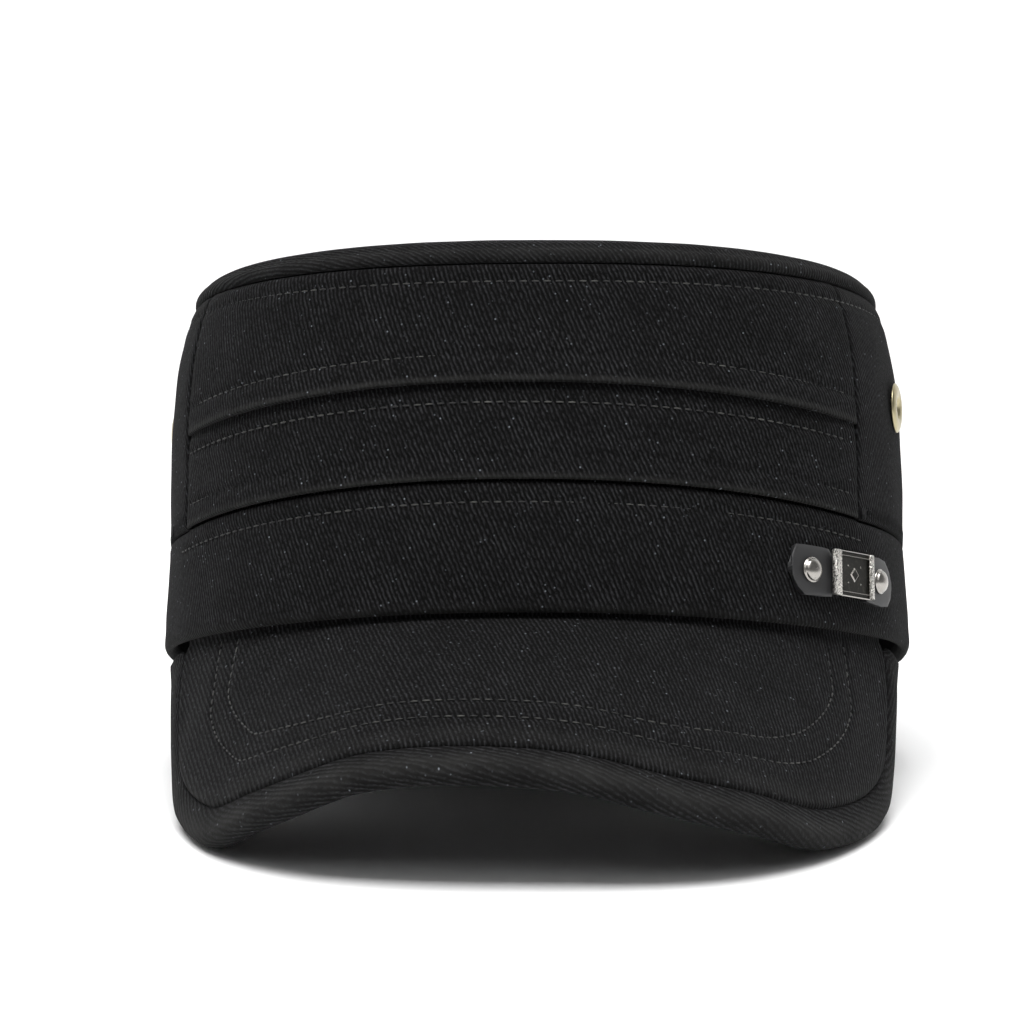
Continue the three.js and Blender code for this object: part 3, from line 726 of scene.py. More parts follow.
# Stitch rows round the crown: how far each lies above or below its seam or fold
CrownRow = namedtuple("CrownRow", "name line offset half_turn")
CROWN_ROWS = (
    CrownRow("below_top_seam", "top", -4.0 * MM, 180.0),
    CrownRow("above_upper_fold", "upper", 6.3 * MM, 58.0),
    CrownRow("below_upper_fold", "upper", -4.4 * MM, 58.0),
    CrownRow("above_lower_fold", "lower", 5.4 * MM, 58.0),
    CrownRow("below_lower_fold", "lower", -4.7 * MM, 61.0),
)
ROW_STEP = 0.5


def crown_row_height(shape, row, turn):
    """Height of a row of stitches at a turn."""
    if row.line == "top":
        return shape.top_seam(turn) + row.offset
    height = shape.upper_tuck if row.line == "upper" else shape.lower_tuck
    return shape.fold(turn, height) + row.offset


def crown_stitch_rows(shape, stitches):
    """Each crown row by name, as a StitchRow whose points lie on the wall."""
    rows = {}
    for row in CROWN_ROWS:
        points, outward = [], []
        for i in range(round(2 * row.half_turn / ROW_STEP) + 1):
            turn = shape.seam_skew - row.half_turn + i * ROW_STEP
            up = crown_row_height(shape, row, turn)
            out = shape.band_face(turn, up) if row.name == "below_lower_fold" else 0.0
            points.append(shape.wall(turn, up, out))
            outward.append((shape.wall(turn, up, out + MM) - points[-1]).normalized())
        rows[row.name] = StitchRow(points, outward, stitches)
    return rows


def rows_at(shape, rows, turn):
    """The stitch rows that pass a turn: each with its height and its arc length there."""
    found = []
    middle_turn = shape.from_bands(turn)
    for row in CROWN_ROWS:
        if abs(middle_turn) <= row.half_turn + 1:
            arcs = rows[row.name].arcs
            k = min(max((middle_turn + row.half_turn) / ROW_STEP, 0.0), len(arcs) - 1.001)
            arc = lerp(arcs[int(k)], arcs[int(k) + 1], k - int(k))
            found.append((rows[row.name], crown_row_height(shape, row, turn), arc))
    return found


def side_seam_dip(shape, turn):
    """The groove of the side seams, and the fuller cloth on both sides of it."""
    aside = (abs(shape.from_bands(turn)) - shape.side_seam_turn) / shape.turn_per_length(turn, 0.04)
    return 0.06 * MM * bell(abs(aside) - 3 * MM, 2 * MM) - 0.3 * MM * bell(aside, 0.8 * MM)


def crown_panel(shape, rows, spec):
    """A cloth panel of the crown's wall, from spec.start to spec.end, with spec.section(turn)
    giving its points from foot to top as (out, up) in metres."""
    arcs = shape.arc_table(spec.start, spec.end, spec.columns, 0.045)
    steps = even_steps(spec.section(lerp(spec.start, spec.end, 0.5)), spec.spacing)
    known = {}

    def place(i, j):
        turn = lerp(spec.start, spec.end, i / spec.columns)
        if i not in known:
            dip = side_seam_dip(shape, turn) if spec.seamed else 0.0
            known[i] = (spec.section(turn), rows_at(shape, rows, turn), dip)
        section, passing, dip = known[i]
        out, up = through(section, steps[j])
        loose = min(1.0, j / 6, (len(steps) - 1 - j) / 6)
        out += undulation(shape.wall(turn, up), spec.slack) * loose + dip
        out += sum(row.relief(arc, up - height) for row, height, arc in passing)
        return shape.wall(turn, up, out), twill_lies(arcs[i], up, 67), spec.wear(turn, up)

    return cloth_sheet(spec.columns, len(steps) - 1, place)


def lip_wear_and_highlight(shape, height):
    """Rubbing along the ridge of a fold, with a painted highlight where the ridge catches the light."""
    return lambda turn, up: 1.2 * bell(up - shape.fold(turn, height) - 0.7 * MM, 0.6 * MM)


def front_band_section(shape, foot, top, top_edge):
    """Foot lip and top edge of a front band, joined by plain cloth."""

    def section(turn):
        low, high = foot(turn), top(turn)
        to_seam = shape.side_seam_turn - abs(shape.from_bands(turn))
        flare = 1 - 0.75 * bell(to_seam, 9.0)
        points = [(out * MM * (flare if out > 0 else 1), low + up * MM) for out, up in LIP]
        tucked = 1 - 0.6 * bell(to_seam, 9.0)
        top_points = [(out * MM * tucked, high - down * MM) for out, down in top_edge]
        points.append((0.0, lerp(points[-1][1], top_points[0][1], 0.5)))
        return points + top_points

    return section


def make_front_bands(shape, rows, colours):
    """The two front bands, each ending at its foot in a folded lip."""
    half = shape.side_seam_turn - 0.1
    twill = cotton_twill(colours)

    def upper_foot(turn):
        return shape.fold(turn, shape.upper_tuck)

    def lower_foot(turn):
        return shape.fold(turn, shape.lower_tuck) + 0.3 * MM

    def lower_top(turn):
        return upper_foot(turn) + 0.6 * MM

    upper = front_band_section(shape, upper_foot, shape.top_seam, INTO_SEAM)
    lower = front_band_section(shape, lower_foot, lower_top, BEHIND_LIP)
    for name, node, section, height in (
        ("upper_front_band", "front_band_upper", upper, shape.upper_tuck),
        ("lower_front_band", "front_band_lower", lower, shape.lower_tuck),
    ):
        wear = lip_wear_and_highlight(shape, height)
        spec = PanelSpec(shape.seam_skew - half, shape.seam_skew + half, 250, 0.75 * MM, section,
                         0.3 * MM, True, wear)
        bm = crown_panel(shape, rows, spec)
        piece = finish_piece(bm, name, [twill], [node], shape.to_frame)
        thicken(piece, 1.2 * MM)


def make_crown_back(shape, rows, colours):
    """The side and back panel, with a hole for each eyelet."""
    start = shape.seam_skew + shape.side_seam_turn + 0.1
    end = shape.seam_skew + 360 - shape.side_seam_turn - 0.1

    def section(turn):
        low = shape.fold(turn, shape.lower_tuck) + 0.1 * MM
        high = shape.top_seam(turn)
        points = [(-1.5 * MM, low + 0.2 * MM), (-0.7 * MM, low), (-0.1 * MM, low + 0.5 * MM)]
        points += [(0.05 * MM, low + 1.6 * MM), (0.05 * MM, low + 4 * MM)]
        points.append((0.0, lerp(low, high, 0.5)))
        return points + [(out * MM, high - down * MM) for out, down in INTO_SEAM]

    def wear(turn, up):
        return 0.4 * bell(up - shape.top_seam(turn) + 2 * MM, 2 * MM)

    spec = PanelSpec(start, end, 400, 1.0 * MM, section, 0.55 * MM, True, wear)
    bm = crown_panel(shape, rows, spec)
    for turn in (shape.badge_side_eyelet, shape.plain_side_eyelet):
        middle = shape.wall(turn, shape.eyelet_height)
        faces = [f for f in bm.faces if (f.calc_center_median() - middle).length < 3.2 * MM]
        bmesh.ops.delete(bm, geom=faces, context="FACES")
    piece = finish_piece(bm, "crown_side_and_back", [cotton_twill(colours)], ["crown_back"],
                         shape.to_frame)
    thicken(piece, 1.2 * MM)


def make_outer_band(shape, rows, colours):
    """The band round the crown's foot, with its turned hem, closed at the back."""

    def section(turn):
        low = shape.band_foot(turn)
        seamed = abs(shape.from_bands(turn)) > shape.side_seam_turn
        high = shape.fold(turn, shape.lower_tuck) - (0.35 if seamed else 0.05) * MM
        points = [(out * MM, low + up * MM) for out, up in HEM]
        for share in (0.35, 0.5, 0.62, 0.78):
            up = lerp(low, high, share)
            points.append((shape.band_face(turn, up), up))
        ends = ((0.0, 1.3), (-0.15, 0.6), (-0.5, 0.15), (-1.2, 0.0))
        return points + [(out * MM, high - down * MM) for out, down in ends]

    def wear(turn, up):
        return 0.8 * bell(up - shape.band_foot(turn), 1.3 * MM)

    spec = PanelSpec(-180, 180, 640, 0.8 * MM, section, 0.35 * MM, False, wear)
    bm = crown_panel(shape, rows, spec)
    bmesh.ops.remove_doubles(bm, verts=bm.verts, dist=0.01 * MM)
    piece = finish_piece(bm, "foot_band", [cotton_twill(colours)], ["outer_band"], shape.to_frame)
    thicken(piece, 1.5 * MM)


def top_row_point(shape, turn, out, rise):
    """A point of the top panel near its seam: out of the wall's top, and above it."""
    point = shape.wall(turn, shape.top_seam(turn), out)
    inset = min(max(-out / 0.012, 0.0), 1.0)
    seam = shape.top_seam(turn)
    flat = lerp(shape.back_height, shape.front_height, (1 - point.y / shape.top_half_length) / 2)
    point.z = lerp(seam, flat + shape.top_seam_bow * (1 - inset) * 0.5, inset) + rise
    return point


def top_stitch_row(shape, stitches):
    """The row that runs on the roll just above the top seam."""
    points, outward = [], []
    for i in range(721):
        turn = -180 + i * 0.5
        points.append(top_row_point(shape, turn, -1.55 * MM, 3.4 * MM))
        level = (shape.wall(turn, shape.top_seam(turn), MM) - shape.wall(turn, shape.top_seam(turn))) / MM
        outward.append((level * 0.55 + Vector((0, 0, 0.83))).normalized())
    return StitchRow(points, outward, stitches)


def make_top_panel(shape, stitches, colours):
    """The top: a padded roll above the seam, then a slightly domed flat."""
    columns = 560
    roll = [(out * MM, rise * MM) for out, rise in TOP_ROLL]
    steps = even_steps(roll, 0.62 * MM)
    inner = 34
    row = top_stitch_row(shape, stitches)
    lengths = [0.0]
    for a, b in zip(steps, steps[1:]):
        lengths.append(lengths[-1] + math.dist(through(roll, a), through(roll, b)))
    flat_half_width = shape.top_half_width - 12 * MM
    developed = lengths[-1] + flat_half_width
    stitch_at = 4.6 * MM

    def place(i, j):
        turn = lerp(-180, 180, i / columns)
        seam = shape.wall(turn, shape.top_seam(turn))
        if j < len(steps):
            out, rise = through(roll, steps[j])
            length = lengths[j]
            arc = row.arcs[-1] * i / columns
            slope = min(length / (12 * MM), 1.0)
            pull = row.relief(arc, length - stitch_at) + undulation(seam, 0.25 * MM) * slope
            out += pull * (1 - slope) * 0.8
            rise += pull * (0.4 + 0.6 * slope)
            point = top_row_point(shape, turn, out, rise)
        else:
            share = (j - len(steps) + 1) / inner
            eased = 1 - (1 - share) ** 1.15
            edge = top_row_point(shape, turn, roll[-1][0], roll[-1][1])
            point = edge.lerp(Vector((0.0, -shape.top_forward, edge.z)), eased)
            level = lerp(shape.back_height, shape.front_height, (1 - point.y / shape.top_half_length) / 2)
            point.z = level + roll[-1][1] + shape.top_dome * (1 - (1 - eased) ** 2)
            point.z += undulation(Vector((point.x, point.y, 0.3)), 0.5 * MM)
            length = lengths[-1] + eased * flat_half_width
        scale = (developed - length) / shape.top_half_width
        cloth = twill_lies(seam.x * scale, (seam.y + shape.top_forward) * scale, 48)
        wear = 0.55 * bell(length - 3.2 * MM, 2.4 * MM)
        return point, cloth, wear

    bm = cloth_sheet(columns, len(steps) + inner - 1, place)
    bmesh.ops.remove_doubles(bm, verts=bm.verts, dist=0.01 * MM)
    piece = finish_piece(bm, "top_panel", [cotton_twill(colours)], ["crown_top"], shape.to_frame)
    thicken(piece, 1.4 * MM)


def edge_finder(shape):
    """A search tree over the brim's edge."""
    count = 680
    end = shape.brim_end_turn
    tree = KDTree(count + 1)
    for i in range(count + 1):
        tree.insert(shape.brim_edge(lerp(-end, end, i / count)), i)
    tree.balance()
    return tree


def brim_stitch_rows(shape, stitches):
    """The rows that follow the brim's edge, each at its own distance in from it."""
    tree = edge_finder(shape)
    rows = []
    for inset in (18.5 * MM, 25.4 * MM):
        points, outward = [], []
        for i in range(261):
            turn = lerp(-60, 60, i / 260)
            section = shape.brim_section(turn)
            distance = inset + 4.5 * MM * min(max((abs(turn) - 30) / 18, 0.0), 1.0)
            if tree.find(section.root)[2] < distance + 0.5 * MM:
                continue
            near, far = 0.0, 1.0
            for _ in range(16):
                share = (near + far) / 2
                if tree.find(shape.brim_face(section, share))[2] > distance:
                    near = share
                else:
                    far = share
            points.append(shape.brim_face(section, near))
            outward.append(section.up)
        rows.append(StitchRow(points, outward, stitches))
    return rows


def row_finder(row):
    """A search tree over the points of a row of stitches."""
    tree = KDTree(len(row.points))
    for i, point in enumerate(row.points):
        tree.insert(point, i)
    tree.balance()
    return tree


def seam_crease(turn):
    """How deep the brim's edge seam is pulled in: least at the corners, where the cloth is taut."""
    return 1 - 0.85 * bell(abs(turn) - 24, 12)


def make_brim_cover(shape, brim_rows, colours):
    """The stiff brim: cloth over and under it, and the flange sewn in behind the band."""
    columns = 330
    top_rows = 74
    under_rows = 26
    end = 66.2
    finders = [(row, row_finder(row)) for row in brim_rows]
    flange = (8 * MM, 4 * MM)
    columns_made = {}
    front = shape.wall(0.0, 0.0).y
    slope = shape.brim_centre_drop / shape.brim_reach
    ridge_width = 30 * MM
    taken_up = 0.25

    def rolled_out(point):
        """Where a point of the arched brim lies on its cloth when that is flat."""
        from_ridge = point.x + shape.brim_arch_shift
        eased = min(1.0, (from_ridge / ridge_width) ** 2)
        hang = max(slope * (point.y - front) - point.z, 0.0) * eased
        across = from_ridge + math.copysign(taken_up * hang, from_ridge)
        return across, (-point.y - slope * point.z) / math.hypot(1.0, slope)

    def column(i):
        turn = lerp(-end, end, i / columns)
        section = shape.brim_section(turn)
        crease = seam_crease(turn)
        span = (section.edge - section.root).length
        thickness = lerp(2 * MM, shape.brim_thickness, min(1.0, span / 0.02))
        last = max(0.05, 1 - (shape.edge_strip + 0.2 * MM - 0.3 * shape.brim_thickness) / span)
        points = []
        low = section.low
        for up in flange:
            points.append((shape.wall(turn, low + up, -4.2 * MM), 0.0))
        points.append((shape.wall(turn, low - 2 * MM, -4.2 * MM), 0.0))
        for k in range(under_rows):
            share = last * (0.06 + 0.94 * k / (under_rows - 1))
            face = shape.brim_face(section, share)
            points.append((face - section.up * thickness, share))
        corner = shape.brim_face(section, last) + section.out * (0.35 * MM)
        points.append((corner - section.up * (thickness - 1.1 * MM), last))
        points.append((corner - section.up * 1.5 * MM, last))
        points.append((corner - section.up * 0.8 * MM, last))
        for k in range(top_rows):
            share = last * (1 - k / (top_rows - 1))
            face = shape.brim_face(section, share)
            groove = 0.25 * MM * crease * bell((last - share) * span, 0.6 * MM)
            puff = 0.12 * MM * bell((last - share) * span - 3 * MM, 2 * MM)
            lift = puff - groove
            loose = min(1.0, share * 6, (last - share) * 8)
            lift += undulation(face, 0.35 * MM) * loose
            for row, finder in finders:
                _, near, distance = finder.find(face)
                if distance < 5 * MM:
                    lift += row.relief(row.arcs[near], distance)
            points.append((face + section.up * lift, share))
        for up in reversed(flange):
            points.append((shape.wall(turn, low + up, -2.2 * MM), 0.0))
        points.append(points[0])
        return points

    def place(i, j):
        if i not in columns_made:
            columns_made[i] = column(i)
        point, share = columns_made[i][j]
        across, ahead = rolled_out(point)
        wear = 0.35 * bell(share - 0.86, 0.05)
        return point, twill_lies(across, -ahead, 76), wear

    rows = len(column(0)) - 1
    bm = cloth_sheet(columns, rows, place)
    bmesh.ops.remove_doubles(bm, verts=bm.verts, dist=0.01 * MM)
    ends = [e for e in bm.edges if e.is_boundary]
    bmesh.ops.holes_fill(bm, edges=ends, sides=0)
    bmesh.ops.triangulate(bm, faces=[f for f in bm.faces if len(f.verts) > 4])
    finish_piece(bm, "brim_cover", [cotton_twill(colours)], ["brim"], shape.to_frame)


def make_brim_binding(shape, colours):
    """The cloth strip folded round the brim's edge, seamed to the cover above and below."""
    columns = 360
    strip_cloth = 17 * MM
    end = shape.brim_end_turn - 0.3
    arcs = [0.0]
    for i in range(columns):
        a, b = lerp(-end, end, i / columns), lerp(-end, end, (i + 1) / columns)
        arcs.append(arcs[-1] + (shape.brim_edge(b) - shape.brim_edge(a)).length)

    def knots_at(turn, section):
        """The strip's section from its upper seam round the edge to its lower seam: how far in
        from the edge, and above it."""
        span = (section.edge - section.root).length
        strip = min(shape.edge_strip, span * 0.8)
        thickness = lerp(2 * MM, shape.brim_thickness, min(1.0, span / 0.02))
        half = thickness / 2
        sunk = -0.05 * MM - 0.25 * MM * seam_crease(turn)
        return (
            (strip, sunk - 0.65 * MM), (strip - 0.2 * MM, sunk), (strip - 0.9 * MM, 0.05 * MM),
            (strip * 0.7, 0.15 * MM), (strip * 0.4, 0.05 * MM), (0.9 * MM, -0.5 * MM),
            (0.05 * MM, -half * 0.6), (-0.1 * MM, -half), (0.05 * MM, -half * 1.4),
            (0.8 * MM, 0.35 * MM - thickness), (strip * 0.5, -thickness - 0.05 * MM),
            (strip - 0.9 * MM, -thickness), (strip - 0.2 * MM, 0.5 * MM - thickness),
            (strip, 1.4 * MM - thickness),
        )

    steps = even_steps(knots_at(-end, shape.brim_section(-end)), 0.7 * MM)
    rows = len(steps) - 1
    made = {}

    def column(i):
        turn = lerp(-end, end, i / columns)
        section = shape.brim_section(turn)
        knots = knots_at(turn, section)
        inward = (section.root - section.edge).normalized()
        points = []
        for step in reversed(steps):
            back, lift = through(knots, step)
            point = section.edge + inward * back + section.up * lift
            point += section.up * undulation(point, 0.16 * MM)
            points.append(point)
        return points

    def place(i, j):
        if i not in made:
            made[i] = column(i)
        share = j / rows
        wear = 1.1 * bell(share - 0.62, 0.16)
        return made[i][j], twill_lies(arcs[i], share * strip_cloth, 14), wear

    bm = cloth_sheet(columns, rows, place)
    piece = finish_piece(bm, "brim_binding", [cotton_twill(colours)], ["brim_edge"],
                         shape.to_frame)
    thicken(piece, 1.1 * MM)


def add_stitches(bm, row, stitches, proud):
    """A small rounded thread for each stitch of a row, sunk at both its ends."""
    for middle, along, outward in row.places():
        aside = outward.cross(along).normalized()
        out = along.cross(aside).normalized()
        turned = Matrix((along, aside, out)).transposed().to_4x4()
        place = Matrix.Translation(middle + out * proud) @ turned
        size = Matrix.Diagonal((stitches.dash / 2, stitches.thread / 2, stitches.thread * 0.42, 1.0))
        bmesh.ops.create_uvsphere(bm, u_segments=6, v_segments=5, radius=1.0, matrix=place @ size)


def make_stitching(shape, rows, brim_rows, stitches, colours):
    """All the machine stitching, as one piece on the crown and one on the brim."""
    crown = bmesh.new()
    for row in rows:
        add_stitches(crown, row, stitches, -0.1 * MM)
    brim = bmesh.new()
    for row in brim_rows:
        add_stitches(brim, row, stitches, -0.08 * MM)
    thread = sewing_thread(colours)
    finish_piece(crown, "crown_stitches", [thread], [], shape.to_frame)
    finish_piece(brim, "brim_stitches", [thread], [], shape.to_frame)


def strap_turn(shape, badge, along):
    """Turn of a point of the strap, a length back from the plate's middle."""
    return badge.turn + along * shape.turn_per_length(badge.turn, badge.height)


def strap_out(shape, turn, up):
    """How far from the crown's wall the strap's back lies."""
    return shape.band_face(turn, up) + 0.4 * MM


def make_strap(shape, badge, colours):
    """The leather strap, bent round the band: pointed in front, rounded behind, and necked in
    where the plate clasps it."""
    front = -badge.rivet_spacing / 2 - badge.front_tail
    rear = badge.rivet_spacing / 2 + badge.rear_tail
    half = badge.strap_width / 2
    neck = badge.strap_neck / 2
    plate = badge.plate_length / 2
    outline = (
        (front, half * 0.2, -half * 0.18), (front + 0.15 * MM, half * 0.5, -half * 0.3),
        (front + 1.6 * MM, half * 0.99, -half * 0.7), (front + 3.6 * MM, half, -half),
        (-plate - 1.0 * MM, half * 0.97, -half), (-plate + 1.1 * MM, half * 0.93, -half * 0.96),
        (-plate + 1.7 * MM, neck, -neck), (plate - 0.9 * MM, neck, -neck),
        (plate - 0.3 * MM, half * 0.9, -half * 0.93), (rear - 6 * MM, half, -half),
        (rear - 2.6 * MM, half * 0.92, -half * 0.92), (rear - 0.7 * MM, half * 0.6, -half * 0.6),
        (rear, half * 0.2, -half * 0.2),
    )
    stations = []
    for a, b in zip(outline, outline[1:]):
        count = max(2, round((b[0] - a[0]) / (0.7 * MM)))
        stations += [tuple(lerp(p, q, k / count) for p, q in zip(a, b)) for k in range(count)]
    stations.append(outline[-1])
    across = 12

    def place(i, j):
        along, top, foot = stations[i]
        turn = strap_turn(shape, badge, along)
        share = j / across
        up = badge.height + lerp(foot, top, share)
        rounded = 0.22 * MM * (abs(2 * share - 1) ** 6)
        out = strap_out(shape, turn, up) + badge.strap_thickness - rounded
        return shape.wall(turn, up, out), (along, up), 0.0

    bm = cloth_sheet(len(stations) - 1, across, place)
    piece = finish_piece(bm, "badge_leather", [strap_leather(colours)], ["badge_strap"],
                         shape.to_frame)
    thicken(piece, badge.strap_thickness)
    edge = piece.modifiers.new("rounded edge", "BEVEL")
    edge.width = 0.3 * MM
    edge.segments = 2
    edge.limit_method = "ANGLE"
    edge.angle_limit = math.radians(50)


def add_block(bm, centre, size, bevel, material):
    """A small block with rounded edges."""
    place = Matrix.Translation(centre) @ Matrix.Diagonal((*size, 1.0))
    made = bmesh.ops.create_cube(bm, size=1.0, matrix=place)
    edges = list({e for v in made["verts"] for e in v.link_edges})
    rounded = bmesh.ops.bevel(bm, geom=edges, offset=bevel, offset_type="OFFSET", segments=2,
                              profile=0.5, affect="EDGES", material=-1)
    for face in {f for v in rounded["verts"] for f in v.link_faces}:
        face.material_index = material


def make_plate(shape, badge, colours):
    """The clasped plate: two struck rails, a framed blackened field and a plain raised lozenge."""
    length, width = badge.plate_length, badge.plate_width
    bm = bmesh.new()
    slab = Matrix.Translation((0, 0.4 * MM, 0)) @ Matrix.Diagonal((length - MM, 0.8 * MM, width, 1.0))
    bmesh.ops.create_cube(bm, size=1.0, matrix=slab)
    face = max(bm.faces, key=lambda f: f.calc_center_median().y)
    bmesh.ops.inset_region(bm, faces=[face], thickness=0.28 * MM, depth=0.2 * MM)
    channel = bmesh.ops.inset_region(bm, faces=[face], thickness=0.12 * MM, depth=-0.3 * MM)
    for side in channel["faces"] + [face]:
        side.material_index = 2
    bmesh.ops.inset_region(bm, faces=[face], thickness=0.95 * MM, depth=0.0)
    line = bmesh.ops.inset_region(bm, faces=[face], thickness=0.1 * MM, depth=0.26 * MM)
    ridge = bmesh.ops.inset_region(bm, faces=[face], thickness=0.16 * MM, depth=0.0)
    for side in line["faces"] + ridge["faces"]:
        side.material_index = 0
    bmesh.ops.inset_region(bm, faces=[face], thickness=0.1 * MM, depth=-0.3 * MM)
    front_rail = length / 2 - 1.15 * MM
    rear_rail = -length / 2 + 0.75 * MM
    add_block(bm, (front_rail, 0.7 * MM, 0), (2.3 * MM, 1.4 * MM, width), 0.35 * MM, 1)
    add_block(bm, (rear_rail, 0.7 * MM, 0), (1.4 * MM, 1.4 * MM, width), 0.3 * MM, 1)
    beads = 13
    for n in range(beads):
        z = (n - (beads - 1) / 2) * (width - 1.0 * MM) / (beads - 1)
        for x, radius in ((front_rail - 1.35 * MM, 0.26 * MM), (rear_rail + 0.85 * MM, 0.2 * MM)):
            bmesh.ops.create_uvsphere(bm, u_segments=8, v_segments=6, radius=radius,
                                      matrix=Matrix.Translation((x, 0.95 * MM, z)))
    middle_x = (front_rail - 1.15 * MM + rear_rail + 0.7 * MM) / 2
    upright = Matrix.Translation((middle_x, 0.72 * MM, 0)) @ Matrix.Rotation(-math.pi / 2, 4, "X")
    lozenge = bmesh.ops.create_cone(bm, cap_ends=True, segments=4, radius1=1.75 * MM,
                                    radius2=1.45 * MM, depth=0.26 * MM, matrix=upright)
    raised = {f for v in lozenge["verts"] for f in v.link_faces}
    crest = max(raised, key=lambda f: f.calc_center_median().y)
    bmesh.ops.inset_region(bm, faces=[crest], thickness=0.22 * MM, depth=0.0)
    crest.material_index = 2
    for x, z in ((-2.5, 1.9), (2.5, 1.9), (-2.5, -1.9), (2.5, -1.9)):
        bmesh.ops.create_uvsphere(bm, u_segments=8, v_segments=6, radius=0.2 * MM,
                                  matrix=Matrix.Translation((middle_x + x * MM, 0.62 * MM, z * MM)))
    out = strap_out(shape, badge.turn, badge.height - width / 2) + badge.strap_thickness + 0.3 * MM
    bm.transform(shape.seat(badge.turn, badge.height, out))
    materials = [nickel_plate(colours), knurled_nickel(colours), blackened_zinc(colours)]
    piece = finish_piece(bm, "badge_clasp", materials, ["badge_plate"], shape.to_frame)
    piece.data.set_sharp_from_angle(angle=math.radians(35))


def spun(profile, steps):
    """A closed ring or dome turned from a profile of (radius, height) round the Y axis."""
    bm = bmesh.new()
    verts = [bm.verts.new((radius, height, 0.0)) for radius, height in profile]
    edges = [bm.edges.new(pair) for pair in zip(verts, verts[1:])]
    bmesh.ops.spin(bm, geom=verts + edges, cent=(0, 0, 0), axis=(0, 1, 0), angle=2 * math.pi,
                   steps=steps, use_merge=True)
    bmesh.ops.remove_doubles(bm, verts=bm.verts, dist=0.005 * MM)
    bmesh.ops.recalc_face_normals(bm, faces=bm.faces)
    return bm


def make_rivets(shape, badge, colours):
    """Two domed rivets, each with a thin turned flange."""
    radius = badge.rivet_diameter / 2
    profile = [(0.0, 0.0), (radius * 0.97, 0.0), (radius, 0.18 * MM), (radius * 0.95, 0.42 * MM)]
    dome = radius * 0.86
    profile.append((dome, 0.5 * MM))
    for k in range(1, 9):
        angle = math.pi / 2 * k / 8
        profile.append((dome * math.cos(angle) if k < 8 else 0.0, (0.5 + 1.25 * math.sin(angle)) * MM))
    for name, node, side in (
        ("front_rivet", "badge_rivet_front", -1), ("rear_rivet", "badge_rivet_rear", 1),
    ):
        turn = strap_turn(shape, badge, side * badge.rivet_spacing / 2)
        out = strap_out(shape, turn, badge.height) + badge.strap_thickness + 0.25 * MM
        bm = spun(profile, 40)
        bm.transform(shape.seat(turn, badge.height, out))
        finish_piece(bm, name, [nickel_plate(colours)], [node], shape.to_frame)


def make_eyelets(shape, colours):
    """The two pressed brass eyelets, with their barrels through the cloth."""
    radius = shape.eyelet_diameter / 2
    hole = 2.5 * MM
    profile = (
        (hole - 0.5 * MM, -2.8 * MM), (hole, -2.8 * MM), (hole, 0.25 * MM), (radius - 0.5 * MM, 0.2 * MM),
        (radius, 0.3 * MM), (radius - 0.05 * MM, 0.6 * MM), (radius - 0.6 * MM, 0.95 * MM),
        (radius - 1.5 * MM, 1.2 * MM), (radius - 2.4 * MM, 1.22 * MM), (hole + 0.2 * MM, 1.0 * MM),
        (hole - 0.3 * MM, 0.55 * MM), (hole - 0.5 * MM, -0.1 * MM), (hole - 0.5 * MM, -2.8 * MM),
    )
    for name, node, turn in (
        ("badge_side_eyelet", "eyelet_left", shape.badge_side_eyelet),
        ("plain_side_eyelet", "eyelet_right", shape.plain_side_eyelet),
    ):
        low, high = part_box(node)
        bm = spun(profile, 48)
        bm.transform(shape.seat(turn, shape.eyelet_height, 0.3 * MM))
        middle = shape.to_frame @ shape.seat(turn, shape.eyelet_height, 0.0).translation
        if not all(low[k] - 2 * MM < middle[k] < high[k] + 2 * MM for k in range(3)):
            raise RuntimeError("the eyelet has left its solid")
        finish_piece(bm, name, [eyelet_brass(colours)], [node], shape.to_frame)


def add_area_light(name, place, aim, size, power):
    """A soft white lamp that faces the point it is aimed at."""
    light = bpy.data.lights.new(name, "AREA")
    light.shape = "RECTANGLE"
    light.size, light.size_y = size
    light.energy = power
    lamp = bpy.data.objects.new(name, light)
    lamp.location = place
    lamp.rotation_euler = (Vector(aim) - Vector(place)).to_track_quat("-Z", "Y").to_euler()
    bpy.context.scene.collection.objects.link(lamp)


